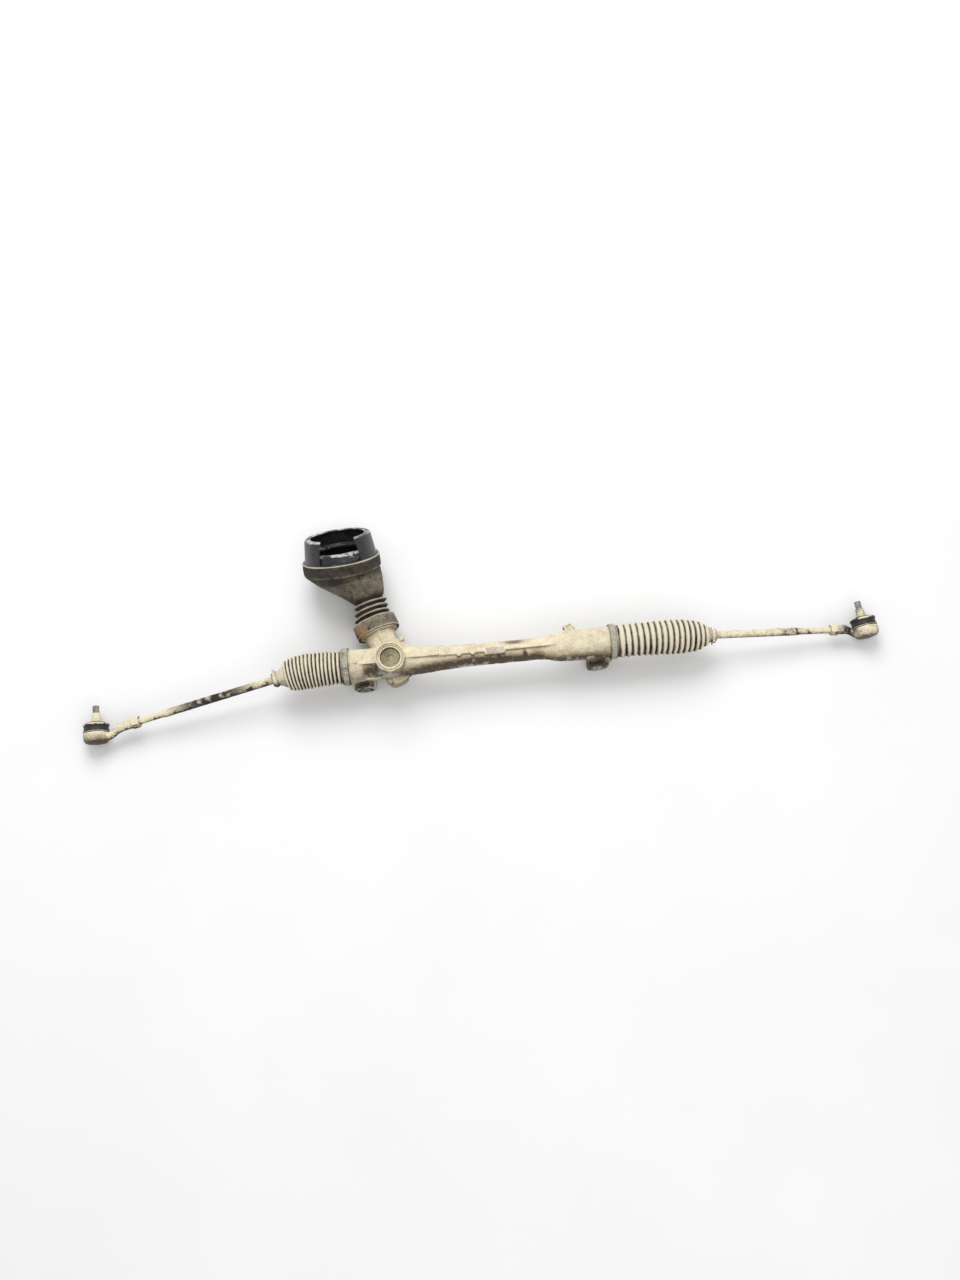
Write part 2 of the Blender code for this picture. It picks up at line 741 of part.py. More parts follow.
def bellows(side, length, body_r, cuff_r):
    """A plain closed solid that stands for a bellows: clamped on the housing's end, straight
    to the inner ball, then along the tie rod to a cuff that grips it."""
    sign = SIDES[side]
    heading = rod_direction(side)
    ball = Vector((sign * INNER_BALL_X, 0, 0))
    end_r = (LEFT_END_R if sign < 0 else RIGHT_END_R) + 0.0006
    start = HOUSING_HALF - 0.009
    wall = 0.0018
    past = HOUSING_HALF + length - INNER_BALL_X
    shape = [
        (start, end_r + wall, end_r),
        (HOUSING_HALF + 0.001, end_r + wall, end_r),
        (HOUSING_HALF + 0.006, body_r, body_r - wall),
        (INNER_BALL_X - 0.006, body_r, body_r - wall),
        (INNER_BALL_X + 0.006, body_r, body_r - wall),
        (INNER_BALL_X + 0.55 * past, body_r - 0.001, body_r - wall - 0.001),
        (INNER_BALL_X + past - 0.012, 0.5 * (body_r + cuff_r), 0.5 * (body_r + cuff_r) - wall),
        (INNER_BALL_X + past - 0.008, cuff_r, ROD_R + 0.0003),
        (INNER_BALL_X + past, cuff_r, ROD_R + 0.0003),
    ]
    outside, inside = [], []
    for along, outer, inner in shape:
        if along < INNER_BALL_X:
            centre, normal = Vector((sign * along, 0, 0)), Vector((sign, 0, 0))
        else:
            centre, normal = ball + heading * (along - INNER_BALL_X), heading
        outside.append(circle(centre, normal, outer))
        inside.append(circle(centre, normal, inner))
    return skinned(f"{side}_bellows", outside + inside[::-1], True)


def band(name, centre, direction, radius, low, high, ear):
    """A clamping band with the raised ear that it is pinched by."""
    ring = tube(name, centre, direction, radius, radius + 0.0010, low, high)
    axes = frame_of(direction)
    lump = block(
        "ear",
        (radius + 0.0005, -ear / 2, low + 0.001),
        (radius + 0.0005 + 0.7 * ear, ear / 2, high - 0.001),
        Matrix.Rotation(math.radians(75), 3, Vector(direction)) @ axes,
        centre,
    )
    return combined(ring, [lump], "UNION")


def side_pieces(side, length, body_r, cuff_r):
    sign = SIDES[side]
    ball = Vector((sign * INNER_BALL_X, 0, 0))
    heading = rod_direction(side)
    across = (sign, 0, 0)
    node(inner_socket(side, sign), STEEL)
    node(lock_washer(side, sign), DARK_STEEL)
    node(seat(f"{side}_inner_seat", ball, across, INNER_BALL_R, -0.78, 0.0035), SEAT_PLASTIC, ball)
    node(tie_rod(side), MUD_STEEL, ball)
    face = ROD_LENGTH[side] - ARM_LENGTH[side]
    nut = hexagon(f"{side}_jam_nut", ball, heading, 0.0155, THREAD_R + 0.0003, face - 0.0112, face - 0.0004)
    node(nut, MUD_STEEL, ball)
    node(bellows(side, length, body_r, cuff_r), MUD_RUBBER)
    end_r = (LEFT_END_R if sign < 0 else RIGHT_END_R) + 0.0006 + 0.0018
    clamp = band(f"{side}_bellows_clamp", (0, 0, 0), across, end_r + 0.0002, 0.1915, 0.1985, 0.005)
    node(clamp, BAND_STEEL)
    at = ball + heading * (HOUSING_HALF + length - INNER_BALL_X - 0.0065)
    clip = band(f"{side}_bellows_clip", at, heading, cuff_r + 0.0002, 0.0, 0.0045, 0.005)
    node(clip, DARK_STEEL, ball)
    outer_pieces(side)


def cover_sections():
    """Centre, normal and radius of each section of the column-hole cover, from its collar on
    the pinion tower to its rim."""
    collar = PINION_POINT + PINION_DIR * 0.0525
    end = Vector((-0.1900, 0.1530, 0.0))
    stations = [
        (0.0, 0.0325, collar),
        (0.0, 0.0325, PINION_POINT + PINION_DIR * 0.0725),
        (0.05, 0.0270, PINION_POINT + PINION_DIR * 0.0770),
        (0.25, 0.0258, Vector((-0.1545, 0.1000, -0.0150))),
        (0.50, 0.0330, Vector((-0.1640, 0.1160, -0.0115))),
        (0.80, 0.0470, Vector((-0.1800, 0.1340, -0.0060))),
        (1.00, 0.0580, end),
        (1.00, 0.0580, end + RING_NORMAL * 0.0150),
    ]
    return [
        (centre, PINION_DIR.lerp(RING_NORMAL, share).normalized(), radius)
        for share, radius, centre in stations
    ]


def column_cover():
    sections = cover_sections()
    outside = [circle(c, n, r, FINE_STEPS) for c, n, r in sections]
    inside = [circle(c, n, r - COVER_WALL, FINE_STEPS) for c, n, r in sections]
    return skinned("column_cover", outside + inside[::-1], True)


def cover_ring():
    centre = Vector((-0.1900, 0.1530, 0.0)) + RING_NORMAL * 0.0060
    ring = turned(
        "cover_ring",
        centre,
        RING_NORMAL,
        [
            (0.0545, 0.0),
            (0.0545, 0.0100),
            (0.0530, 0.0105),
            (0.0490, 0.0410),
            (0.0470, 0.0430),
            (0.0400, 0.0430),
            (0.0400, 0.0408),
            (0.0465, 0.0405),
            (0.0505, 0.0105),
            (0.0440, 0.0095),
            (0.0440, 0.0),
        ],
        RING_STEPS,
        hollow=True,
    )
    front = Vector((0.05, -0.52, 0.85))
    front = (front - RING_NORMAL * front.dot(RING_NORMAL)).normalized()
    side = RING_NORMAL.cross(front)
    axes = Matrix((side, front, RING_NORMAL)).transposed()
    notch = block("notch", (-0.0300, 0.0200, 0.0270), (0.0300, 0.0700, 0.0500), axes, centre)
    return combined(ring, [notch], "DIFFERENCE")


# --------------------------------------------------------------------------- the assembly

node(rack_housing(), CASTING)
for mount_side, (mount_x, _) in MOUNTS.items():
    mount_pieces(mount_side, mount_x)
node(rack_bar(), STEEL)
node(pinion_shaft(), STEEL, PINION_POINT)
pinion_fittings()
guide_pieces()
node(
    tube(
        "rack_bush",
        (0, 0, 0),
        (1, 0, 0),
        RACK_R + 0.0004,
        BUSH_SEAT_R - 0.0003,
        BUSH_SEAT_X[0] + 0.0005,
        BUSH_SEAT_X[1] - 0.0015,
    ),
    SEAT_PLASTIC,
)
side_pieces("left", 0.105, 0.0265, 0.0105)
side_pieces("right", 0.150, 0.0255, 0.0100)
node(column_cover(), MUD_RUBBER)
node(cover_ring(), DARK_PLASTIC)
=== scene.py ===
"""The looks of a mud-covered rack-and-pinion steering gear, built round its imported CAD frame.

Shapes are worked out in the gear's own axes, as in its CAD: X along the rack from the middle of
the housing, Y along the pinion tower and Z out of the rack guide's bore, with the rack's axis at
y = z = 0. ORIGIN carries each finished piece into the frame.
"""

import json
import math

import bmesh
import bpy
import numpy as np
from mathutils import Matrix, Vector, noise

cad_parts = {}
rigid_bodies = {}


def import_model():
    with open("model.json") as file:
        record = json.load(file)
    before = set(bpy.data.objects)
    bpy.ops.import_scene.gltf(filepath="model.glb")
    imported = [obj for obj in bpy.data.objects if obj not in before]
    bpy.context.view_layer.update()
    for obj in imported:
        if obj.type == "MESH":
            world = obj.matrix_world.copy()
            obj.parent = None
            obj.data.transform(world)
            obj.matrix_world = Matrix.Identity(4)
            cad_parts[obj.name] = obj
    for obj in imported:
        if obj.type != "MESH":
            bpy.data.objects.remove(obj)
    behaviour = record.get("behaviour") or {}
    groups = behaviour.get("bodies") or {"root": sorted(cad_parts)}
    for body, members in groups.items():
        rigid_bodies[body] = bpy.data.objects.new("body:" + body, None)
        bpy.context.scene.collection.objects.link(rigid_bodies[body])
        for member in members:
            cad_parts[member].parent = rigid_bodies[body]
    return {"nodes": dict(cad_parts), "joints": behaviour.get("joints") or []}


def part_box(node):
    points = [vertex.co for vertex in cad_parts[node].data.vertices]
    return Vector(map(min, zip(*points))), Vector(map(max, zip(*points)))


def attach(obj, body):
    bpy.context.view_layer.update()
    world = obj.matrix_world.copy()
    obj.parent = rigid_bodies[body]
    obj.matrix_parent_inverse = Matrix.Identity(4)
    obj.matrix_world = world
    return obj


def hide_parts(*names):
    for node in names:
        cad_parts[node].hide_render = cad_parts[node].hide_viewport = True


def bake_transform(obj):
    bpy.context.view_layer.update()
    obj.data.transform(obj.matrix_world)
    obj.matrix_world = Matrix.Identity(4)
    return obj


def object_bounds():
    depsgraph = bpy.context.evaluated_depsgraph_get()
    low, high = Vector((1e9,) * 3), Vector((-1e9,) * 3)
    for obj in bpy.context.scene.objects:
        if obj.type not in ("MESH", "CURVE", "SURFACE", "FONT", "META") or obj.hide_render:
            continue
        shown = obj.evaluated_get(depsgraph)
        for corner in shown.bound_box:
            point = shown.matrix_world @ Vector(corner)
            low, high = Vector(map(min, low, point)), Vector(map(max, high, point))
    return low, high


for leftover in list(bpy.data.objects):
    bpy.data.objects.remove(leftover)

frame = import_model()
CAD_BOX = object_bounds()

# --------------------------------------------------------------------------- places from the frame


def middle(node, axis):
    low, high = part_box(node)
    return (low[axis] + high[axis]) / 2


def joint(name):
    return next(found for found in frame["joints"] if found["name"] == name)


def joint_place(name):
    return Vector(joint(name)["pos_m"]) - ORIGIN


RACK_R = (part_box("rack_bar")[1].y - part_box("rack_bar")[0].y) / 2
ORIGIN = Vector((middle("rack_housing", 0), middle("rack_bar", 1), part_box("rack_bar")[1].z - RACK_R))
HOUSING_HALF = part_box("rack_housing")[1].x - ORIGIN.x

SIGN = {"left": -1, "right": 1}
INNER_BALL = {side: joint_place(f"{side}_inner_swing") for side in SIGN}
OUTER_BALL = {side: joint_place(f"{side}_outer_tilt") for side in SIGN}
STUD_AXIS = {side: Vector(joint(f"{side}_stud_spin")["axis"]).normalized() for side in SIGN}
ROD_LENGTH = {side: (OUTER_BALL[side] - INNER_BALL[side]).length for side in SIGN}
HEADING = {side: (OUTER_BALL[side] - INNER_BALL[side]).normalized() for side in SIGN}
PINION_POINT = joint_place("pinion_turn")
PINION_DIR = Vector(joint("pinion_turn")["axis"]).normalized()
PINION_POINT -= PINION_DIR * (PINION_POINT.y / PINION_DIR.y)

# --------------------------------------------------------------------------- sizes
END_R = {"left": 0.0242, "right": 0.0225}
END_BORE_R, END_BORE_DEPTH = 0.0188, 0.040
RACK_BORE_R = 0.0142
BUSH_SEAT_R, BUSH_SEAT_X = 0.0165, (0.138, 0.160)
GUIDE_X = middle("guide_adjuster", 0) - ORIGIN.x
GUIDE_TOP, GUIDE_BORE_R, GUIDE_LEAD_R, GUIDE_LEAD_DEPTH = 0.0365, 0.0147, 0.0172, 0.0026
MOUNT_X = {side: middle(f"{side}_mount_sleeve", 0) - ORIGIN.x for side in SIGN}
MOUNT_Z = middle("left_mount_sleeve", 2) - ORIGIN.z
MOUNT_R = {"left": 0.0165, "right": 0.0160}
MOUNT_Y = (-0.030, 0.022)
MOUNT_BORE_R, SLEEVE_R, SLEEVE_BORE_R = 0.0125, 0.0075, 0.0052
BELLOWS_START, BELLOWS_LENGTH = HOUSING_HALF - 0.009, {"left": 0.105, "right": 0.150}
CUFF_R = {"left": 0.0105, "right": 0.0100}
ROD_R, THREAD_R, THREAD_PITCH = 0.0057, 0.0050, 0.0015
ARM_LENGTH = {"left": 0.055, "right": 0.043}
INNER_BALL_R, OUTER_BALL_R, SEAT_WALL, BALL_GAP = 0.0115, 0.0105, 0.0017, 0.00045
RING_NORMAL = Vector((-0.05, 0.853, 0.522)).normalized()
RIM_CENTRE = Vector((-0.1900, 0.1530, 0.0))
COVER_WALL = 0.003
HOUSING_VOXEL, END_VOXEL = 0.0011, 0.0007
LUG_PLACE, LUG_AXES = (0.1335, 0.0262, 0.002), Matrix.Rotation(math.radians(28), 3, "Z")
PAST_END = 0.25  # where a cutter along the rack starts and ends, clear of the housing
BALL_CUT = 0.93  # share of a ball's radius at which its bottom is cut flat
BELLOWS_CUTS = {"left": (0.0140, 0.0265), "right": (0.036, 0.047)}  # past the inner ball
FLOOR_Z = -0.0012

STEPS = 96

# --------------------------------------------------------------------------- mesh helpers


def axes_of(direction):
    """Columns: two directions across `direction`, then `direction` itself. The first is as near
    to +X as it can be, or to +Z for a direction along X."""
    along = Vector(direction).normalized()
    hint = Vector((0, 0, 1)) if abs(along.x) > 0.8 else Vector((1, 0, 0))
    second = along.cross(hint).normalized()
    return Matrix((second.cross(along), second, along)).transposed()


def linked(name, data):
    """A new object of this data, in the scene."""
    thing = bpy.data.objects.new(name, data)
    bpy.context.scene.collection.objects.link(thing)
    return thing


def mesh_object(name, points, faces):
    mesh = bpy.data.meshes.new(name)
    mesh.from_pydata([tuple(point) for point in points], [], faces)
    made = bmesh.new()
    made.from_mesh(mesh)
    bmesh.ops.recalc_face_normals(made, faces=made.faces)
    if made.calc_volume(signed=True) < 0:
        bmesh.ops.reverse_faces(made, faces=made.faces)
    made.to_mesh(mesh)
    made.free()
    return linked(name, mesh)


def skinned(name, rings, wrap=False):
    """A skin through rings of points. A ring of one point is a pole, and `wrap` joins the last
    ring to the first."""
    points, starts, faces = [], [], []
    for ring in rings:
        starts.append(len(points))
        points.extend(ring)
    pairs = list(zip(range(len(rings) - 1), range(1, len(rings))))
    if wrap:
        pairs.append((len(rings) - 1, 0))
    for low, high in pairs:
        a, b, n, m = starts[low], starts[high], len(rings[low]), len(rings[high])
        for i in range(max(n, m)):
            j = (i + 1) % max(n, m)
            if n == 1:
                faces.append((a, b + i, b + j))
            elif m == 1:
                faces.append((a + i, a + j, b))
            else:
                faces.append((a + i, a + j, b + j, b + i))
    if not wrap:
        for k in (0, len(rings) - 1):
            if len(rings[k]) > 1:
                faces.append(tuple(range(starts[k], starts[k] + len(rings[k]))))
    return mesh_object(name, points, faces)


def ring_points(centre, direction, radii):
    """Points round `direction`, one for each of the radii."""
    axes = np.array(axes_of(direction))
    angles = np.linspace(0, 2 * math.pi, len(radii), endpoint=False)
    flat = np.stack([np.cos(angles), np.sin(angles)]) * radii
    return np.array(centre) + (axes[:, :2] @ flat).T


def rounded(profile, radius, closed=False):
    """The profile with each corner replaced by a short curve."""
    count = len(profile)
    result = []
    for k, corner in enumerate(profile):
        if not closed and k in (0, count - 1):
            result.append(corner)
            continue
        here = np.array(corner, float)
        legs = [np.array(profile[(k + d) % count], float) - here for d in (-1, 1)]
        reach = min(radius, *(0.45 * np.linalg.norm(leg) for leg in legs))
        first, last = (here + leg / max(np.linalg.norm(leg), 1e-9) * reach for leg in legs)
        for t in (0.0, 0.25, 0.5, 0.75, 1.0):
            point = (1 - t) ** 2 * first + 2 * t * (1 - t) * here + t**2 * last
            result.append((float(point[0]), float(point[1])))
    return result


def refined(profile, step, closed=False):
    """The profile with points added until no two are further apart than `step`."""
    ends = list(zip(profile, profile[1:] + profile[:1] if closed else profile[1:]))
    result = [] if closed else [profile[0]]
    for (r0, h0), (r1, h1) in ends:
        count = max(1, math.ceil(math.hypot(r1 - r0, h1 - h0) / step))
        result += [(r0 + (r1 - r0) * k / count, h0 + (h1 - h0) * k / count) for k in range(1, count + 1)]
    return result


def turned(
    name, centre, direction, profile, hollow=False, bevel=0.0006, step=0.002, shape=None, steps=STEPS
):
    """A turned piece from (radius, distance) pairs. `shape` may change a ring's radii: it is
    given the radius, the distance and the angles."""
    profile = rounded(profile, bevel, hollow)
    if not hollow:
        profile = [(0.0, profile[0][1]), *profile, (0.0, profile[-1][1])]
    profile = refined(profile, step, hollow)
    along = Vector(direction).normalized()
    angles = np.linspace(0, 2 * math.pi, steps, endpoint=False)
    rings = []
    for radius, distance in profile:
        at = Vector(centre) + along * distance
        if radius < 1e-6:
            if not rings or len(rings[-1]) > 1:
                rings.append([at])
            continue
        radii = np.full(steps, radius) if shape is None else shape(radius, distance, angles)
        rings.append(ring_points(at, along, radii))
    return skinned(name, rings, hollow)


def tube(name, centre, direction, inner, outer, low, high, bevel=0.0004, steps=STEPS, shape=None):
    profile = [(outer, low), (outer, high), (inner, high), (inner, low)]
    return turned(name, centre, direction, profile, True, bevel, shape=shape, steps=steps)


def rod(name, start, end, radius, steps=STEPS):
    start, end = Vector(start), Vector(end)
    return turned(name, start, end - start, [(radius, 0), (radius, (end - start).length)], steps=steps)


def lump(name, low, high, bevel, axes=None, centre=(0, 0, 0)):
    """A block with its edges rounded off."""
    made = bmesh.new()
    bmesh.ops.create_cube(made, size=1)
    for vertex in made.verts:
        vertex.co = Vector([low[k] + (high[k] - low[k]) * (vertex.co[k] + 0.5) for k in range(3)])
    bmesh.ops.bevel(made, geom=made.edges[:], offset=bevel, segments=3, profile=0.6, affect="EDGES")
    mesh = bpy.data.meshes.new(name)
    made.to_mesh(mesh)
    made.free()
    turn = (Matrix.Identity(3) if axes is None else axes).to_4x4()
    mesh.transform(Matrix.Translation(Vector(centre)) @ turn)
    return linked(name, mesh)


def prism(name, outline, depth, axes, centre):
    """A flat outline on the first two axes, carried half of `depth` each way along the third."""
    outline = rounded(outline, 0.0012, closed=True)
    rings = [
        [Vector(centre) + axes @ Vector((u, v, w)) for u, v in outline]
        for w in (-depth / 2, depth / 2)
    ]
    return skinned(name, rings)


def applied(thing, kind, **settings):
    """The thing with one modifier added and applied."""
    modifier = thing.modifiers.new(kind, kind)
    for name, value in settings.items():
        setattr(modifier, name, value)
    bpy.context.view_layer.update()
    graph = bpy.context.evaluated_depsgraph_get()
    result = bpy.data.meshes.new_from_object(thing.evaluated_get(graph))
    thing.modifiers.clear()
    thing.data = result
    return thing


def combined(target, others, operation):
    """The target with the others united with it or cut from it. The others are used up."""
    for other in others:
        applied(target, "BOOLEAN", operation=operation, solver="MANIFOLD", object=other)
        bpy.data.objects.remove(other)
    return target


def joined(things):
    """One object of all these overlapping closed shapes, for a remesh to make one skin of."""
    made = bmesh.new()
    for thing in things:
        made.from_mesh(thing.data)
    made.to_mesh(things[0].data)
    made.free()
    for thing in things[1:]:
        bpy.data.objects.remove(thing)
    return things[0]


def cast(things, voxel, smoothing):
    """One softened skin round overlapping shapes, as a casting or a forging has."""
    thing = applied(joined(things), "REMESH", mode="VOXEL", voxel_size=voxel, adaptivity=0.0)
    return applied(thing, "SMOOTH", factor=0.5, iterations=smoothing)


def roughened(thing, amount, size, seed, octaves=3):
    """The surface pushed in and out by noise with features of about `size`."""
    mesh = thing.data
    points = np.empty(len(mesh.vertices) * 3, np.float32)
    normals = np.empty(len(mesh.vertices) * 3, np.float32)
    mesh.vertices.foreach_get("co", points)
    mesh.vertex_normals.foreach_get("vector", normals)
    points, normals = points.reshape(-1, 3), normals.reshape(-1, 3)
    offset = Vector((seed * 7.13, seed * 3.37, seed * 5.71))
    pushes = [
        noise.fractal(Vector(point) / size + offset, 1.0, 2.1, octaves) for point in points.tolist()
    ]
    points += normals * (amount * np.array(pushes, np.float32))[:, None]
    mesh.vertices.foreach_set("co", points.ravel())
    mesh.update()
    return thing


def with_relief(thing, values):
    """Stores how far each point stands out, from 0 in a valley to 1 on a crest."""
    attribute = thing.data.attributes.new("relief", "FLOAT", "POINT")
    attribute.data.foreach_set("value", np.asarray(values, np.float32))
    return thing


def points_from(thing, centre):
    """The thing's points, one to a row, measured from `centre`."""
    return np.array([vertex.co for vertex in thing.data.vertices]) - np.array(centre)


def radii_round(points, axis):
    """How far each point is from an axis through the centre it is measured from."""
    return np.linalg.norm(points - np.outer(points @ axis, axis), axis=1)


def relief_by_radius(thing, centre, direction, low, high):
    """Relief from each point's distance to an axis: 0 at `low`, 1 at `high`."""
    radii = radii_round(points_from(thing, centre), np.array(Vector(direction).normalized()))
    return with_relief(thing, np.clip((radii - low) / (high - low), 0, 1))


def piece(thing, material, body, replaces=(), sharp=38):
    """Ends a piece: its material, its place in the frame, the body it moves with and the CAD
    nodes it stands for, which are hidden. A piece given two bodies is attached to neither and
    stays where it is."""
    mesh = thing.data
    mesh.materials.clear()
    mesh.materials.append(material)
    mesh.transform(Matrix.Translation(ORIGIN))
    mesh.shade_smooth()
    mesh.set_sharp_from_angle(angle=math.radians(sharp))
    if replaces:
        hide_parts(*replaces)
    if isinstance(body, str):
        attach(thing, body)
    else:
        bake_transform(thing)
    return thing


# --------------------------------------------------------------------------- material helpers


def add(tree, kind, inputs, **settings):
    node = tree.nodes.new(kind)
    for name, value in settings.items():
        setattr(node, name, value)
    for key, value in inputs.items():
        if isinstance(value, bpy.types.NodeSocket):
            tree.links.new(value, node.inputs[key])
        else:
            node.inputs[key].default_value = value
    return node


def maths(tree, operation, *values):
    return add(tree, "ShaderNodeMath", dict(enumerate(values)), operation=operation).outputs[0]


def weighted(tree, base, *terms):
    """base plus each value's share: terms are (value between 0 and 1, weight) pairs, and a value
    of one half adds nothing."""
    for value, weight in terms:
        base = maths(tree, "MULTIPLY_ADD", maths(tree, "SUBTRACT", value, 0.5), weight, base)
    return base


def grain(tree, where, scale, detail=4.0, distortion=0.0):
    inputs = {
        "Vector": where, "Scale": scale, "Detail": detail, "Roughness": 0.58, "Distortion": distortion
    }
    return add(tree, "ShaderNodeTexNoise", inputs).outputs["Fac"]


def ranged(tree, value, low, high, to_low=0.0, to_high=1.0):
    inputs = {"Value": value, "From Min": low, "From Max": high, "To Min": to_low, "To Max": to_high}
    return add(tree, "ShaderNodeMapRange", inputs, interpolation_type="SMOOTHSTEP").outputs["Result"]


def ramp(tree, value, stops):
    """Colours along a value: stops are (position, rgb) pairs."""
    node = add(tree, "ShaderNodeValToRGB", {"Fac": value})
    elements = node.color_ramp.elements
    elements[0].position, elements[1].position = stops[0][0], stops[-1][0]
    elements[0].color, elements[1].color = (*stops[0][1], 1), (*stops[-1][1], 1)
    for position, rgb in stops[1:-1]:
        elements.new(position).color = (*rgb, 1)
    return node.outputs["Color"]


def blended(tree, share, a, b):
    return add(tree, "ShaderNodeMix", {0: share, 6: a, 7: b}, data_type="RGBA").outputs[2]


def zone(tree, where, centre, radii):
    """1 round `centre`, given in the gear's axes, fading to 0 at `radii` from it."""
    middle_point = tuple(Vector(centre) + ORIGIN)
    offset = add(tree, "ShaderNodeVectorMath", {0: where, 1: middle_point}, operation="SUBTRACT")
    scaled = add(tree, "ShaderNodeVectorMath", {0: offset.outputs[0], 1: radii}, operation="DIVIDE")
    length = add(tree, "ShaderNodeVectorMath", {0: scaled.outputs[0]}, operation="LENGTH")
    return ranged(tree, length.outputs["Value"], 1.0, 0.3)


def fresh(name):
    """A new material's node tree, its shader and the coordinates that its patterns use."""
    material = bpy.data.materials.new(name)
    material.use_nodes = True
    tree = material.node_tree
    where = tree.nodes.new("ShaderNodeTexCoord").outputs["Object"]
    return material, tree, tree.nodes["Principled BSDF"], where


DUST_AND_LIGHT_FROM = (0.0, 0.42, 0.91)  # the side that dust has settled on and that the key lamp lights; upper sides come out lighter, partly dust and partly painted light
MUD = ((0.080, 0.058, 0.037), (0.34, 0.27, 0.17), (0.82, 0.74, 0.54))


def muddy(
    name, bare, bare_roughness, metallic=0.0, cover=0.5, dust=0.35, tones=MUD, relief=0.0,
    dirt_and_shade=(), stains=(), bump=1.0, contrast=1.0,
):
    """Something bare under dried mud. `cover` is how much of it is muddy, `dust` how much muddier
    and lighter the upper sides are, the lighter tone partly painted light, `relief` how much
    lighter and muddier crests are than valleys, with painted light on crests and painted shade
    in valleys, and `dirt_and_shade` and `stains` are (centre, radii, strength or rgb) zones of darker mud,
    partly dirt and partly painted shade, and of other colours."""
    material, tree, shader, where = fresh(name)
    broad = grain(tree, where, 17, 3)
    patch = grain(tree, where, 85, 5, 0.5)
    fine = grain(tree, where, 420, 5)
    grit = grain(tree, where, 1500, 3)
    normal = tree.nodes.new("ShaderNodeNewGeometry").outputs["Normal"]
    # Faces turned to the dust-and-lamp side get more mud from dust and a lighter tone, the lighter tone
    # partly dust and partly painted light from the key lamp's side.
    facing = add(tree, "ShaderNodeVectorMath", {0: normal, 1: DUST_AND_LIGHT_FROM}, operation="DOT_PRODUCT")
    up = ranged(tree, facing.outputs["Value"], -0.5, 0.95)
    level = weighted(tree, cover, (broad, 1.4), (patch, 2.2), (fine, 0.8), (up, 1.4 * dust))
    tone = weighted(
        tree, 0.50, (broad, 0.8 * contrast), (patch, 1.1 * contrast), (fine, 1.1 * contrast),
        (up, 1.5 * dust)
    )
    # Crests come out muddier and lighter and valleys darker: the darker valleys are painted shade, the
    # lighter crests partly mud and partly painted light.
    if relief:
        stands = add(tree, "ShaderNodeAttribute", {}, attribute_name="relief").outputs["Fac"]
        level = weighted(tree, level, (stands, 0.8 * relief))
        tone = weighted(tree, tone, (stands, relief))
    # Each zone darkens the mud's tone where the noise allows: partly dirt, partly painted shade.
    for centre, radii, strength in dirt_and_shade:
        dark = maths(tree, "MULTIPLY", zone(tree, where, centre, radii), strength)
        dark = maths(tree, "MULTIPLY", dark, ranged(tree, patch, 0.30, 0.55, 0.5, 1.0))
        tone = maths(tree, "SUBTRACT", tone, dark)
    muddiness = ranged(tree, level, 0.32, 0.62)
    mud = ramp(tree, tone, [(0.05, tones[0]), (0.40, tones[1]), (0.92, tones[2])])
    under = ramp(tree, weighted(tree, 0.5, (fine, 1.2), (patch, 1.0)), [(0.25, bare[0]), (0.75, bare[1])])
    colour = blended(tree, muddiness, under, mud)
    for centre, radii, rgb in stains:
        share = maths(tree, "MULTIPLY", zone(tree, where, centre, radii), ranged(tree, patch, 0.33, 0.52))
        colour = blended(tree, share, colour, (*rgb, 1))
    rough = weighted(tree, bare_roughness, (fine, 0.25))
    rough = add(tree, "ShaderNodeMix", {0: muddiness, 2: rough, 3: 0.93}, data_type="FLOAT").outputs[0]
    tree.links.new(colour, shader.inputs["Base Color"])
    tree.links.new(rough, shader.inputs["Roughness"])
    if metallic:
        bareness = maths(tree, "SUBTRACT", 1.0, muddiness)
        tree.links.new(maths(tree, "MULTIPLY", bareness, metallic), shader.inputs["Metallic"])
    height = weighted(tree, 0.5, (patch, 0.9), (fine, 0.7), (grit, 0.28), (muddiness, 0.35))
    raised = add(tree, "ShaderNodeBump", {"Strength": 0.75 * bump, "Distance": 0.0011, "Height": height})
    tree.links.new(raised.outputs["Normal"], shader.inputs["Normal"])
    return material


def machined(name, dark, light, roughness, metallic, scale=260.0, bump=0.25):
    """A clean inner piece: metal or plastic with fine grain and uneven gloss."""
    material, tree, shader, where = fresh(name)
    fine = grain(tree, where, scale, 5)
    broad = grain(tree, where, 40, 3)
    tone = weighted(tree, 0.5, (fine, 1.0), (broad, 0.9))
    tree.links.new(ramp(tree, tone, [(0.2, dark), (0.8, light)]), shader.inputs["Base Color"])
    tree.links.new(weighted(tree, roughness, (fine, 0.3), (broad, 0.2)), shader.inputs["Roughness"])
    shader.inputs["Metallic"].default_value = metallic
    raised = add(tree, "ShaderNodeBump", {"Strength": bump, "Distance": 0.0003, "Height": fine})
    tree.links.new(raised.outputs["Normal"], shader.inputs["Normal"])
    return material


ALUMINIUM = ((0.34, 0.32, 0.28), (0.55, 0.52, 0.46))
BLACK = ((0.010, 0.009, 0.008), (0.030, 0.027, 0.024))
STEEL = ((0.20, 0.19, 0.175), (0.42, 0.40, 0.37))

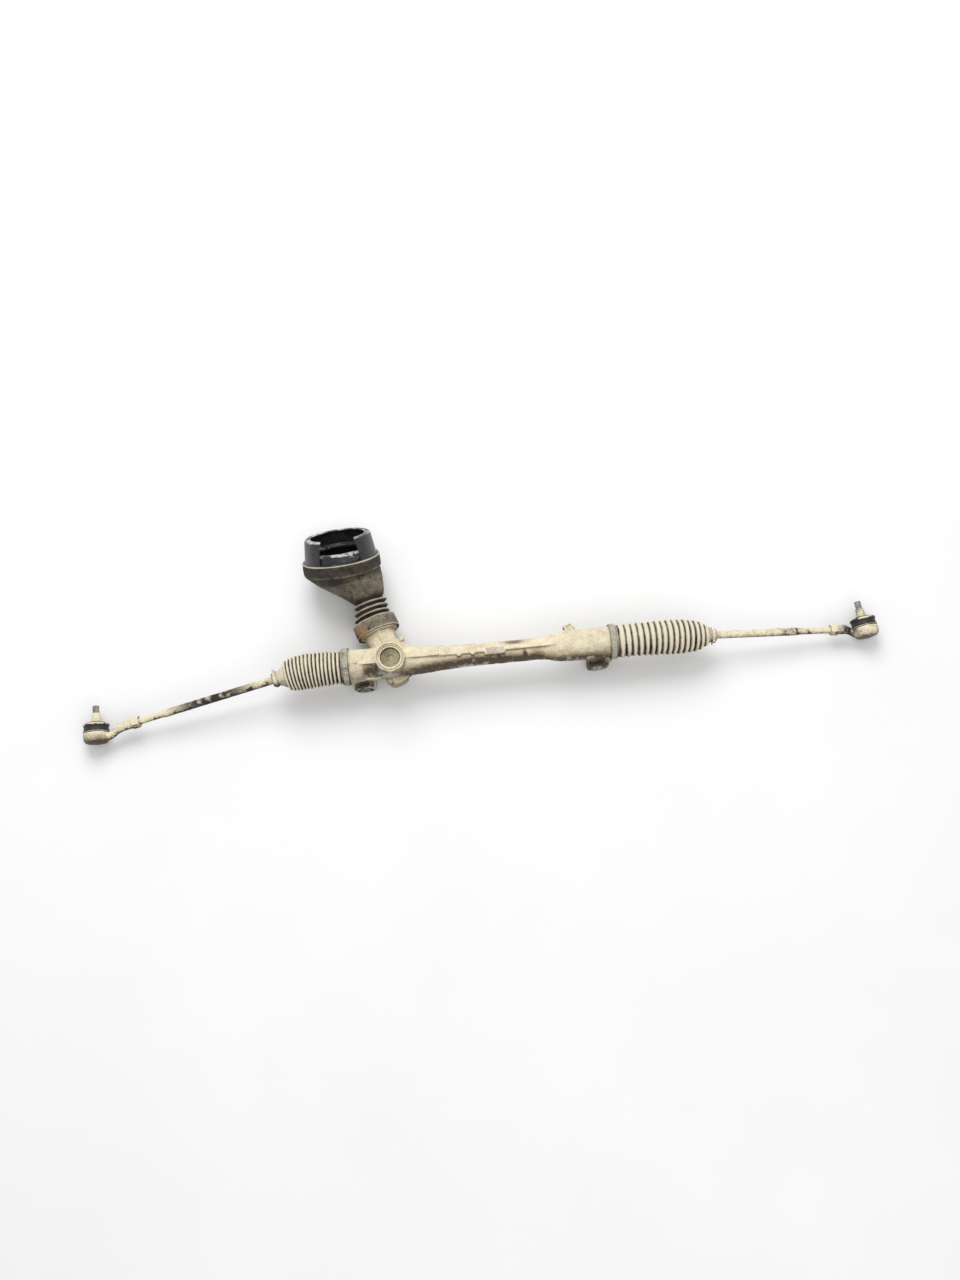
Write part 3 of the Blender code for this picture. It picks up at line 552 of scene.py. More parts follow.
casting = muddy(
    "casting_mud",
    ALUMINIUM,
    0.55,
    metallic=0.6,
    cover=0.80,
    dust=0.42,
    dirt_and_shade=[
        # Darker under the shelf's ledge, along the tube and at the left end: partly dirt, partly painted
        # shade.
        ((-0.010, -0.0180, 0.004), (0.150, 0.0185, 0.034), 0.95),
        ((-0.154, -0.0130, 0.014), (0.022, 0.012, 0.022), 0.80),
        # Darker towards the bottom edge of the right end.
        ((0.150, -0.0250, 0.000), (0.070, 0.014, 0.034), 0.50),
        # Narrow dark bands of dirt across the tube's lower front.
        ((0.027, -0.0120, 0.010), (0.004, 0.012, 0.020), 0.40),
        ((0.0655, -0.0110, 0.010), (0.005, 0.012, 0.020), 0.80),
        ((0.083, -0.0120, 0.010), (0.015, 0.012, 0.020), 0.35),
        # Painted shade in the mounting bosses' pockets.
        ((-0.1715, -0.027, -0.028), (0.022, 0.014, 0.030), 0.95),
        ((0.1728, -0.027, -0.028), (0.022, 0.014, 0.030), 0.95),
    ],
    stains=[((0.050, 0.0095, 0.012), (0.026, 0.0075, 0.014), (0.24, 0.15, 0.115))],
    contrast=0.55,
)
bellows_rubber = muddy(
    "bellows_mud", BLACK, 0.75, cover=0.85, dust=0.40, relief=1.05,
    tones=((0.032, 0.024, 0.017), (0.20, 0.16, 0.11), (0.74, 0.68, 0.53)), contrast=0.6, bump=0.6,
)
cover_rubber = muddy(
    "cover_mud", BLACK, 0.8, cover=0.85, dust=0.08, relief=0.95,
    tones=((0.020, 0.016, 0.012), (0.085, 0.069, 0.046), (0.48, 0.43, 0.32)),
    stains=[((-0.170, 0.047, 0.004), (0.017, 0.014, 0.022), (0.30, 0.17, 0.08))],
    contrast=0.42,
)
ring_plastic = muddy(
    "ring_plastic", ((0.008, 0.009, 0.010), (0.030, 0.033, 0.037)), 0.36, cover=0.10, dust=0.18,
    relief=0.70,
    tones=((0.03, 0.03, 0.03), (0.12, 0.12, 0.115), (0.50, 0.51, 0.50)), bump=0.4, contrast=0.6,
)
boot_rubber = muddy(
    "boot_mud", BLACK, 0.6, cover=0.08, dust=0.20, relief=0.95,
    tones=((0.05, 0.03, 0.02), (0.22, 0.16, 0.10), (0.75, 0.66, 0.48)), bump=0.5,
)
rod_mud = muddy(
    "rod_mud", ((0.02, 0.02, 0.02), (0.06, 0.058, 0.055)), 0.4, metallic=0.5, cover=0.62, dust=0.45
)
left_rod_mud = muddy(
    "left_rod_mud", ((0.015, 0.014, 0.013), (0.05, 0.047, 0.043)), 0.38, metallic=0.5, cover=0.55,
    dust=0.45,
    stains=[((-0.390, -0.025, -0.014), (0.088, 0.045, 0.04), (0.030, 0.026, 0.022))],
)
end_mud = muddy(
    "end_mud", ((0.03, 0.028, 0.026), (0.10, 0.095, 0.085)), 0.45, metallic=0.5, cover=0.62, dust=0.50,
    # Painted shade on the left rod end's lower side.
    dirt_and_shade=[((-0.568, -0.072, -0.030), (0.032, 0.020, 0.030), 0.85)],
    stains=[((0.549, -0.012, -0.028), (0.024, 0.016, 0.024), (0.018, 0.017, 0.016))],
)
stud_mud = muddy("stud_mud", STEEL, 0.35, metallic=0.9, cover=0.36, dust=0.20, relief=0.7)
band_mud = muddy(
    "band_mud", ((0.16, 0.17, 0.13), (0.42, 0.42, 0.34)), 0.42, metallic=0.75, cover=0.75, dust=0.15,
    bump=0.5,
    contrast=0.6, tones=((0.07, 0.065, 0.05), (0.30, 0.29, 0.22), (0.66, 0.63, 0.50)),
)
plug_mud = muddy(
    "plug_mud", STEEL, 0.5, metallic=0.5, cover=0.78, dust=0.05,
    tones=((0.10, 0.085, 0.045), (0.27, 0.235, 0.135), (0.50, 0.45, 0.29)),
)
plate_mud = muddy(
    "plate_mud", ((0.22, 0.18, 0.16), (0.42, 0.36, 0.32)), 0.5, metallic=0.4, cover=0.45, dust=0.1,
    tones=((0.10, 0.07, 0.055), (0.34, 0.27, 0.22), (0.66, 0.58, 0.48)), bump=0.8,
)
bush_rubber = muddy("bush_rubber", BLACK, 0.7, cover=0.30, dust=0.25, bump=0.5)
sleeve_steel = muddy("sleeve_steel", STEEL, 0.4, metallic=0.9, cover=0.30, dust=0.20, bump=0.4)

inner_steel = machined("inner_steel", (0.38, 0.37, 0.36), (0.66, 0.65, 0.63), 0.30, 1.0)
dark_steel = machined("dark_inner_steel", (0.05, 0.048, 0.045), (0.14, 0.13, 0.12), 0.45, 0.8)
seat_plastic = machined("seat_plastic", (0.60, 0.58, 0.50), (0.80, 0.78, 0.71), 0.45, 0.0)
seal_rubber = machined("seal_rubber", (0.012, 0.012, 0.012), (0.035, 0.034, 0.032), 0.6, 0.0)
cap_plastic = machined("cap_plastic", (0.025, 0.027, 0.03), (0.06, 0.063, 0.068), 0.45, 0.0)

# --------------------------------------------------------------------------- housing


def upper_shell(radius, _, angles):
    """The left end's thicker upper half: full radius above a ridge line, recessed below it."""
    height_y = -radius * np.sin(angles)
    return np.where(height_y > -0.0040, radius, radius - 0.0050)


def housing_shapes():
    """The overlapping shapes that the casting is made of, before its bores are cut."""
    along_x = (1, 0, 0)
    centre = (0, 0, 0)
    left_r, right_r = END_R["left"], END_R["right"]
    tube_profile = [
        (left_r, -HOUSING_HALF), (left_r, -0.190), (left_r + 0.0009, -0.188), (left_r + 0.0009, -0.181),
        (left_r, -0.179), (left_r - 0.0002, -0.170), (0.0200, -0.168), (0.0200, -0.150),
        (0.0228, -0.142), (0.0222, -0.112), (0.0192, -0.070), (0.0168, -0.030), (0.0162, 0.000),
        (0.0162, 0.084), (0.0176, 0.098), (0.0205, 0.112), (right_r, 0.127), (right_r, 0.186),
        (right_r + 0.0004, 0.188), (right_r, HOUSING_HALF),
    ]
    shapes = [
        turned("housing", centre, along_x, tube_profile, bevel=0.004),
        turned("upper", centre, along_x, [(0.0236, -0.178), (0.0236, -0.116)], shape=upper_shell),
        lump("ridge", (-0.173, -0.0050, 0.010), (-0.132, -0.0016, 0.0253), 0.0006),
        lump("flange", (-0.176, -0.0232, -0.004), (-0.128, -0.0205, 0.0040), 0.0008),
        turned(
            "boss",
            (GUIDE_X, 0, 0), (0, 0, 1),
            [(0.0235, -0.004), (0.0228, 0.016), (0.0214, 0.024), (0.0210, 0.030), (0.0210, 0.0345)],
            bevel=0.002,
        ),
        turned(
            "tower",
            PINION_POINT,
            PINION_DIR,
            [(0.0150, -0.0272), (0.0166, -0.0252), (0.0185, -0.012), (0.0225, 0.004), (0.0228, 0.049),
             (0.0290, 0.051), (0.0290, 0.0605)],
            bevel=0.002,
        ),
        rod("button", (-0.1800, 0.0, 0.0), (-0.1800, 0.0, 0.0268), 0.0026, 32),
    ]
    shelf = [
        (-0.0022, 0.004), (-0.0022, 0.0205), (-0.0004, 0.0214), (0.0050, 0.0186), (0.0120, 0.0128),
        (0.012, 0.004)
    ]
    across_x = Matrix(((0, 0, 1), (1, 0, 0), (0, 1, 0)))
    shapes.append(prism("shelf", shelf, 0.228, across_x, (0.004, 0, 0)))
    root = [
        (-0.0012, 0.004), (-0.0012, 0.0234), (0.0006, 0.0242), (0.0060, 0.0222), (0.0125, 0.0168),
        (0.013, 0.004)
    ]
    shapes.append(prism("shelf_root", root, 0.056, across_x, (-0.088, 0, 0)))
    for x in (-0.0305, -0.0102):
        shapes.append(rod("ledge_boss", (x, -0.0018, 0.008), (x, -0.0018, 0.0225), 0.0034, 32))
    shapes.append(lump("pad", (0.0075, -0.0068, 0.006), (0.0370, 0.0042, 0.0210), 0.0008))
    tower_axes = axes_of(PINION_DIR)
    shapes.append(
        lump("rib", (-0.0014, -0.0253, 0.016), (0.0014, -0.0150, 0.048), 0.0006, tower_axes, PINION_POINT)
    )
    gusset = [
        (-0.010, 0.010), (0.018, 0.014), (0.045, 0.0165), (0.024, 0.026), (0.004, 0.040),
        (-0.012, 0.052)
    ]
    shapes.append(prism("gusset", gusset, 0.0085, Matrix.Identity(3), (PINION_POINT.x, 0, -0.005)))
    fin = [
        (-0.1335, -0.0160), (-0.1268, -0.0335), (-0.1120, -0.0292), (-0.0930, -0.0160),
        (-0.1000, -0.0060)
    ]
    shapes.append(prism("fin", fin, 0.0065, Matrix.Identity(3), (0, 0, -0.001)))
    shapes.append(rod("gusset_boss", (-0.1115, 0.0345, -0.010), (-0.1115, 0.0345, 0.0015), 0.0036, 32))
    shapes.append(
        lump(
            "lug", (-0.0072, -0.0058, -0.0070), (0.0072, 0.0058, 0.0070), 0.0012, LUG_AXES, LUG_PLACE
        )
    )
    return shapes + mount_shapes()


def mount_shapes():
    """The two bosses that the gear is bolted down by, with their webs."""
    shapes = []
    for side, x in MOUNT_X.items():
        low, high = MOUNT_Y
        radius = MOUNT_R[side]
        shapes.append(turned(
            f"{side}_mount", (x, 0, MOUNT_Z), (0, 1, 0),
            [(radius - 0.0006, low), (radius, low + 0.003), (radius, high)]
        ))
        shapes.append(lump("web", (x - 0.0145, -0.017, -0.030), (x + 0.0145, 0.016, -0.012), 0.002))
        for edge in (-1, 1):
            near, far = sorted((x + edge * (radius - 0.0026), x + edge * radius))
            shapes.append(lump("wall", (near, -0.0292, -0.034), (far, -0.004, -0.0130), 0.0008))
    x, radius = MOUNT_X["right"], MOUNT_R["right"]
    sweep = [
        (radius - 0.006, -0.026), (radius + 0.002, -0.0245), (radius + 0.007, -0.020),
        (radius + 0.0095, -0.012), (0, -0.012)
    ]
    shapes.append(prism("sweep", sweep, 0.016, Matrix.Identity(3), (x, 0, -0.022)))
    return shapes


def housing_cuts():
    """The machined bores, and the recesses that are cast in."""
    bore_end = HOUSING_HALF - END_BORE_DEPTH
    cuts = [
        rod("rack_bore", (-PAST_END, 0, 0), (PAST_END, 0, 0), RACK_BORE_R),
        rod("left_bore", (-PAST_END, 0, 0), (-bore_end, 0, 0), END_BORE_R),
        rod("right_bore", (bore_end, 0, 0), (PAST_END, 0, 0), END_BORE_R),
        rod("bush_seat", (BUSH_SEAT_X[0], 0, 0), (BUSH_SEAT_X[1], 0, 0), BUSH_SEAT_R),
        rod("guide_bore", (GUIDE_X, 0, 0), (GUIDE_X, 0, 0.06), GUIDE_BORE_R),
        turned(
            "pinion_bore",
            PINION_POINT,
            PINION_DIR,
            [
                (0.0106, -0.04), (0.0106, 0.0165), (0.0176, 0.0166), (0.0176, 0.0345), (0.0196, 0.0346),
                (0.0196, 0.07)
            ],
            bevel=0.0001,
        ),
        lump(
            "lug_recess", (-0.0042, -0.0030, 0.0052), (0.0042, 0.0030, 0.020), 0.0006,
            LUG_AXES, LUG_PLACE,
        ),
    ]
    for side, x in MOUNT_X.items():
        cuts.append(rod(side, (x, -0.05, MOUNT_Z), (x, 0.05, MOUNT_Z), MOUNT_BORE_R))
        cuts.append(lump("pocket", (x - 0.0100, -0.0262, -0.0195), (x + 0.0100, -0.0195, 0.0), 0.0010))
    return cuts


def eight_sided(radius, _, angles):
    """The guide boss's outside is slightly flattened into eight sides."""
    if radius < 0.0205:
        return np.full(len(angles), radius)
    return radius * (1 + 0.020 * np.cos(8 * angles))


def boss_rim():
    """The guide boss's machined mouth: two rims with a groove between them."""
    profile = [
        (0.0200, 0.0290), (0.0216, 0.0300), (0.0219, 0.0352), (0.0208, 0.0365), (0.0199, 0.0362),
        (0.0192, 0.0344), (0.0185, 0.0344), (0.0180, 0.0361), (GUIDE_LEAD_R, 0.0356),
        (GUIDE_LEAD_R, GUIDE_TOP - GUIDE_LEAD_DEPTH),
        (GUIDE_BORE_R, GUIDE_TOP - GUIDE_LEAD_DEPTH - 0.0004), (GUIDE_BORE_R, 0.0290),
    ]
    rim = turned("rim", (GUIDE_X, 0, 0), (0, 0, 1), profile, True, 0.0007, 0.001, eight_sided)
    return roughened(rim, 0.00030, 0.006, 12)


def housing():
    body = cast(housing_shapes(), HOUSING_VOXEL, 5)
    roughened(body, 0.00050, 0.016, 1)
    roughened(body, 0.00022, 0.004, 2)
    lead = rod("lead", (GUIDE_X, 0, GUIDE_TOP - GUIDE_LEAD_DEPTH), (GUIDE_X, 0, 0.06), GUIDE_LEAD_R)
    body = combined(body, [lead, *housing_cuts()], "DIFFERENCE")
    body = combined(body, [boss_rim()], "UNION")
    body.name = "housing_casting"
    piece(body, casting, "housing", ["rack_housing"])


def data_plate():
    plate = lump("data_plate", (0.0092, -0.0056, 0.0206), (0.0353, 0.0030, 0.02165), 0.0003)
    piece(plate, plate_mud, "housing")


def hexagon_radii(flat, angles):
    """From the middle of a hexagon to its outline: `flat` is half of its width across flats."""
    return flat / np.cos((angles + math.pi / 6) % (math.pi / 3) - math.pi / 6)


def fittings():
    """What closes the casting's bores, and the mounts' bushes."""
    hexagon_r = 0.0060

    def socket(radius, _, angles):
        if radius > hexagon_r + 0.0005:
            return np.full(len(angles), radius)
        return hexagon_radii(radius * math.cos(math.pi / 6), angles)

    adjuster = turned(
        "adjuster_plug",
        (GUIDE_X, 0, 0), (0, 0, 1),
        [
            (0.0130, 0.0242), (0.0142, 0.0250), (0.0142, 0.0292), (0.0132, 0.0298), (0.0118, 0.0284),
            (0.0090, 0.0272), (hexagon_r, 0.0268), (hexagon_r, 0.0252),
        ],
        shape=socket,
        step=0.0007,
    )
    piece(roughened(adjuster, 0.0002, 0.005, 3), plug_mud, "housing", ["guide_adjuster"])
    plug = turned(
        "lower_plug",
        PINION_POINT,
        PINION_DIR,
        [
            (0.0060, -0.0316), (0.0118, -0.0316), (0.0135, -0.0304), (0.0135, -0.0276),
            (0.0102, -0.0276), (0.0102, -0.0250)
        ],
        step=0.001,
    )
    piece(roughened(plug, 0.00015, 0.004, 4), plug_mud, "housing", ["lower_bearing_plug"])
    low, high = MOUNT_Y
    for side, x in MOUNT_X.items():
        at = (x, 0, MOUNT_Z)
        bush = [(MOUNT_BORE_R - 0.0003, low + 0.001), (MOUNT_BORE_R - 0.0003, high - 0.001),
                (0.0112, high - 0.0004),
                (0.0098, high - 0.0016), (SLEEVE_R + 0.0003, high - 0.001),
                (SLEEVE_R + 0.0003, low + 0.001),
                (0.0098, low + 0.0016), (0.0112, low + 0.0004)]
        thing = turned(f"{side}_rubber_bush", at, (0, 1, 0), bush, hollow=True)
        piece(thing, bush_rubber, "housing", [f"{side}_mount_bush"])
        sleeve = tube(
            f"{side}_steel_sleeve", at, (0, 1, 0), SLEEVE_BORE_R, SLEEVE_R, low - 0.0008, high + 0.0008
        )
        piece(sleeve, sleeve_steel, "housing", [f"{side}_mount_sleeve"])


# --------------------------------------------------------------------------- bellows


def bellows_line(side, s):
    """Centre and direction at distance s along the bellows' middle line, which runs straight out
    of the housing and then turns smoothly into line with the tie rod."""
    first, last, ball = Vector((SIGN[side], 0, 0)), HEADING[side], INNER_BALL[side]
    bend = 0.030
    past = s - ball.length
    if past < -bend:
        return ball + first * past, first
    if past > bend:
        return ball + last * past, last
    t = (past + bend) / (2 * bend)
    centre = ball - first * bend + 2 * bend * (first * t + (last - first) * t * t / 2)
    return centre, first.lerp(last, t).normalized()


RIDGES = {
    # side: (first valley, last valley, number, depth, [(share along, crest radius), ...])
    "left": (HOUSING_HALF + 0.0030, HOUSING_HALF + 0.0850, 15, 0.0046,
             [(0.0, 0.0246), (0.35, 0.0260), (0.65, 0.0266), (0.85, 0.0256), (1.0, 0.0215)]),
    "right": (HOUSING_HALF + 0.0035, HOUSING_HALF + 0.1390, 16, 0.0046,
              [(0.0, 0.0243), (0.12, 0.0250), (0.40, 0.0258), (0.66, 0.0264), (0.80, 0.0248), (0.90, 0.0215),
               (1.0, 0.0150)]),
}
BELLOWS_WALL = 0.0011


def bellows_radius(side, s):
    """(radius, relief) of the outside at distance s."""
    first, last, count, depth, envelope = RIDGES[side]
    end = HOUSING_HALF + BELLOWS_LENGTH[side]
    sleeve_r = END_R[side] + 0.0024
    if s < first:
        return sleeve_r - 0.0016 * float(np.clip((s - first + 0.004) / 0.004, 0, 1)), 0.45
    if s < last:
        share = (s - first) / (last - first)
        crest = float(np.interp(share, *zip(*envelope)))
        phase = share**1.06 * count
        wobble = 0.0004 * math.sin(2.4 * math.floor(phase) + 0.7)
        stands = abs(math.sin(math.pi * phase)) ** 0.85
        shallow = 0.45 + 0.55 * min(1.0, 3.5 * share) if side == "right" else 1.0
        narrow = min(1.0, (crest - CUFF_R[side]) / 0.010)
        return crest + wobble - depth * shallow * narrow * (1 - stands), stands
    t = min(1.0, (s - last) / (end - 0.008 - last))
    valley = envelope[-1][1] - depth * min(1.0, (envelope[-1][1] - CUFF_R[side]) / 0.010)
    radius = valley + (CUFF_R[side] - valley) * (t * t * (3 - 2 * t))
    return radius, 0.55 if s > end - 0.009 else 0.75


def bellows_piece(name, side, low, high, step=0.0005):
    count = round((high - low) / step)
    stations = [low + (high - low) * k / count for k in range(count + 1)]
    outside, inside, relief = [], [], []
    for s in stations:
        centre, direction = bellows_line(side, s)
        radius, stands = bellows_radius(side, s)
        outside.append(ring_points(centre, direction, np.full(STEPS, radius)))
        inside.append(ring_points(centre, direction, np.full(STEPS, radius - BELLOWS_WALL)))
        # Crests get a high relief and valleys a low one, so the valleys come out dark as painted shade and
        # the crests lighter, partly as painted light.
        relief.append(stands**1.5)
    thing = skinned(name, outside + inside[::-1], wrap=True)
    # The inner wall gets a low relief like the valleys and comes out dark: painted shade inside the bellows.
    values = relief + [0.1] * len(relief)
    return with_relief(thing, np.repeat(values, STEPS))


def bellows(side):
    """Three lengths, one for each joint that the bellows spans: the sliding rack, then the inner
    ball's swing and its lift. Each is given two bodies and so is attached to neither."""
    ball = INNER_BALL[side].length
    end = HOUSING_HALF + BELLOWS_LENGTH[side]
    first, second = (ball + past for past in BELLOWS_CUTS[side])
    spans = [
        (f"{side}_bellows_body", BELLOWS_START, first, ("housing", "rack"), HOUSING_HALF, first),
        (f"{side}_bellows_turn", first, second, ("rack", f"{side}_inner_cup"), first, second),
        (f"{side}_bellows_nose", second, end, (f"{side}_inner_cup", f"{side}_rod"), second, end - 0.0085),
    ]
    for name, low, high, bodies, bend_from, bend_to in spans:
        thing = roughened(bellows_piece(name, side, low, high), 0.00022, 0.009, 5)
        stands_for = [f"{side}_bellows"] if low == BELLOWS_START else []
        piece(thing, bellows_rubber, bodies, stands_for, 60)


def clamp(side):
    """The slotted steel band round the bellows' large end, with its pinched ear."""
    low, high = HOUSING_HALF - 0.0078, HOUSING_HALF - 0.0004
    inner = END_R[side] + 0.0026
    mid, slots, steps_in_slot = (low + high) / 2, 34, 12

    def slotted(radius, distance, angles):
        grooves = (np.sin(angles * slots) > 0.1) & (abs(distance - mid) < 0.0019) & (
            radius > inner + 0.0006
        )
        return radius - 0.0005 * grooves

    direction = (SIGN[side], 0, 0)
    profile = [(inner + 0.0010, low), (inner + 0.0013, low + 0.0004), (inner + 0.0010, low + 0.0010),
               (inner + 0.0010, high - 0.0010), (inner + 0.0013, high - 0.0004), (inner + 0.0010, high),
               (inner, high), (inner, low)]
    band = turned(
        f"{side}_clamp_band", (0, 0, 0), direction, profile, True, 0.0001, 0.0006, slotted,
        steps=steps_in_slot * slots,
    )
    axes = Matrix.Rotation(math.radians(195), 3, Vector(direction)) @ axes_of(direction)
    ear = [
        lump(
            "ear", (inner + 0.0003, -0.0024, low + 0.0008), (inner + 0.0042, -0.0010, high - 0.0008),
            0.0004, axes
        ),
        lump(
            "ear", (inner + 0.0003, 0.0010, low + 0.0008), (inner + 0.0042, 0.0024, high - 0.0008),
            0.0004, axes
        ),
        lump(
            "ear", (inner + 0.0032, -0.0022, low + 0.0008), (inner + 0.0048, 0.0022, high - 0.0008),
            0.0006, axes
        ),
    ]
    band = combined(band, ear, "UNION")
    piece(band, band_mud, "housing", [f"{side}_bellows_clamp"])


def clip(side):
    """The spring clip on the bellows' cuff, with the two round ends that open it."""
    centre, direction = bellows_line(side, HOUSING_HALF + BELLOWS_LENGTH[side] - 0.0065)
    inner = CUFF_R[side] + 0.0002
    band = tube(f"{side}_cuff_clip", centre, direction, inner, inner + 0.0011, 0.0, 0.0042)
    axes = axes_of(direction)
    ears = []
    for angle in (math.radians(62), math.radians(118)):
        spoke = axes @ Vector((math.cos(angle), math.sin(angle), 0))
        root = centre + spoke * inner
        ears.append(
            rod("ear", root + direction * 0.0021, root + direction * 0.0021 + spoke * 0.0045, 0.0016, 24)
        )
    piece(combined(band, ears, "UNION"), end_mud, f"{side}_rod", [f"{side}_bellows_clip"])


# --------------------------------------------------------------------------- tie rods and rod ends


def ball_arc(radius, low, high, steps):
    """(radius, height) pairs on a ball from one height to another."""
    first, last = math.asin(low / radius), math.asin(high / radius)
    angles = [first + (last - first) * k / steps for k in range(steps + 1)]
    return [(radius * math.cos(angle), radius * math.sin(angle)) for angle in angles]


def threaded(low, high, depth=0.00045):
    """A turned piece's shape with a thread cut between two distances."""

    def shape(radius, distance, angles):
        if not low < distance < high:
            return np.full(len(angles), radius)
        turn = (distance / THREAD_PITCH - angles / (2 * math.pi)) % 1.0
        return radius - depth * (1 - np.abs(2 * turn - 1))

    return shape


def tie_rod(side):
    length = ROD_LENGTH[side]
    profile = ball_arc(INNER_BALL_R, -BALL_CUT * INNER_BALL_R, 0.0098, 18)
    profile += [
        (0.0050, 0.0118), (0.0050, 0.0160), (ROD_R, 0.0190), (ROD_R, length - 0.1055),
        (THREAD_R, length - 0.102), (THREAD_R, length - 0.039), (0.0042, length - 0.038),
    ]
    shape = threaded(length - 0.101, length - 0.040)
    thing = turned(
        f"{side}_rod_shaft", INNER_BALL[side], HEADING[side], profile, bevel=0.0005, step=0.0005,
        shape=shape, steps=64
    )
    roughened(thing, 0.00022, 0.008, 6)
    material = left_rod_mud if side == "left" else rod_mud
    piece(thing, material, f"{side}_rod", [f"{side}_tie_rod"])


def jam_nut(side):
    """A hexagon nut with chamfered corners."""
    face = ROD_LENGTH[side] - ARM_LENGTH[side]
    low, high, flat = face - 0.0112, face - 0.0004, 0.00775
    bore = THREAD_R + 0.0003

    def hexagon(radius, distance, angles):
        if radius < bore + 0.001:
            return np.full(len(angles), radius)
        sides = hexagon_radii(flat, angles)
        chamfer = flat + 0.0002 + 2.0 * min(distance - low, high - distance)
        return np.minimum(np.minimum(sides, chamfer), radius)

    corner = flat / math.cos(math.pi / 6)
    profile = [(bore, low), (corner, low), (corner, high), (bore, high)]
    nut = turned(
        f"{side}_lock_nut", INNER_BALL[side], HEADING[side], profile, True, 0.00005, 0.0005, hexagon,
        steps=144
    )
    piece(roughened(nut, 0.00018, 0.004, 7), end_mud, f"{side}_rod", [f"{side}_jam_nut"], 30)


def smooth_line(stations, count):
    """Catmull-Rom points through rows of numbers."""
    rows = np.array([stations[0], *stations, stations[-1]], float)
    result = []
    for k in range(1, len(rows) - 2):
        a, b, c, d = rows[k - 1 : k + 3]
        bend, twist = 2 * a - 5 * b + 4 * c - d, 3 * b - a - 3 * c + d
        for t in np.arange(count) / count:
            result.append(0.5 * (2 * b + (c - a) * t + bend * t**2 + twist * t**3))
    return [*result, rows[-1]]


def rod_end_arm(side):
    """The arm leaves the cup low down, then bends up into line with the rod."""
    centre, back, up = OUTER_BALL[side], -HEADING[side], STUD_AXIS[side]
    level = (back - up * back.dot(up)).normalized()
    slope = back.dot(up) / back.dot(level)
    end = ARM_LENGTH[side] * back.dot(level)
    bends = {
        "left": [(0.0250, -0.0018, 0.0061), (0.0320, 0.0034, 0.0064), (0.0390, 0.0068, 0.0069)],
        "right": [(0.0240, 0.5 * (0.024 * slope - 0.0040), 0.0062), (0.0300, 0.030 * slope, 0.0070)],
    }
    stations = [
        (0.006, -0.0060, 0.0075), (0.014, -0.0052, 0.0063), (0.019, -0.0046, 0.0060),
        *bends[side],
        (end - 0.008, (end - 0.008) * slope, 0.0071),
        (end - 0.001, (end - 0.001) * slope, 0.0071),
        (end, end * slope, 0.0066),
    ]
    rings = []
    for along, height, radius in smooth_line(stations, 8):
        share = min(1.0, max(0.0, along / 0.035))
        at = centre + level * along + up * height
        rings.append(ring_points(at, level.lerp(back, share), np.full(48, radius)))
    return skinned("arm", rings)


def rod_end(side):
    centre, axis, back = OUTER_BALL[side], STUD_AXIS[side], -HEADING[side]
    cavity = OUTER_BALL_R + SEAT_WALL + 2 * BALL_GAP
    cup = turned(
        f"{side}_rod_end",
        centre,
        axis,
        [(0.0146, -0.0127), (0.0166, -0.0113), (0.0181, -0.0080), (0.0189, -0.0040), (0.0191, 0.0000),
         (0.0186, 0.0015), (0.0150, 0.0019), (0.0150, 0.0098)],
        bevel=0.001,
    )
    body = cast([cup, rod_end_arm(side)], END_VOXEL, 4)
    roughened(body, 0.00042, 0.011, 8)
    roughened(body, 0.00018, 0.0035, 9)
    profile = [
        (0.0132, -0.0170), (0.0132, -0.0001), *ball_arc(cavity, 0.0, 0.0072, 6), (0.0098, 0.0080),
        (0.0116, 0.0120)
    ]
    hollow = turned("hollow", centre, axis, profile, bevel=0.0001)
    thread = rod("thread", centre + back * 0.027, centre + back * 0.12, THREAD_R + 0.0003)
    body = combined(body, [hollow, thread], "DIFFERENCE")
    piece(body, end_mud, f"{side}_rod", [f"{side}_outer_housing"])
    plate = turned(
        f"{side}_end_plate", centre, axis,
        [(0.0040, -0.0141), (0.0090, -0.0138), (0.0126, -0.0128), (0.0126, -0.0112), (0.0040, -0.0112)],
        step=0.001,
    )
    piece(
        roughened(plate, 0.00012, 0.005, 10), end_mud, f"{side}_rod",
        [f"{side}_outer_plug"]
    )


def stud(side):
    centre, axis = OUTER_BALL[side], STUD_AXIS[side]
    profile = ball_arc(OUTER_BALL_R, -BALL_CUT * OUTER_BALL_R, 0.0090, 18)
    profile += [
        (0.0054, 0.0110), (0.0054, 0.0140), (0.0080, 0.0158), (0.0080, 0.0175), (0.0069, 0.0178),
        (0.0060, 0.0310), (0.0050, 0.0318), (0.0050, 0.0417), (0.0043, 0.0425),
    ]
    thing = turned(
        f"{side}_stud_pin", centre, axis, profile, bevel=0.0003, step=0.0003,
        shape=threaded(0.0322, 0.0416), steps=64
    )
    heights = points_from(thing, centre) @ np.array(axis)
    with_relief(thing, np.where(heights > 0.0315, 0.0, 0.9))
    piece(thing, stud_mud, f"{side}_stud", [f"{side}_ball_stud"])


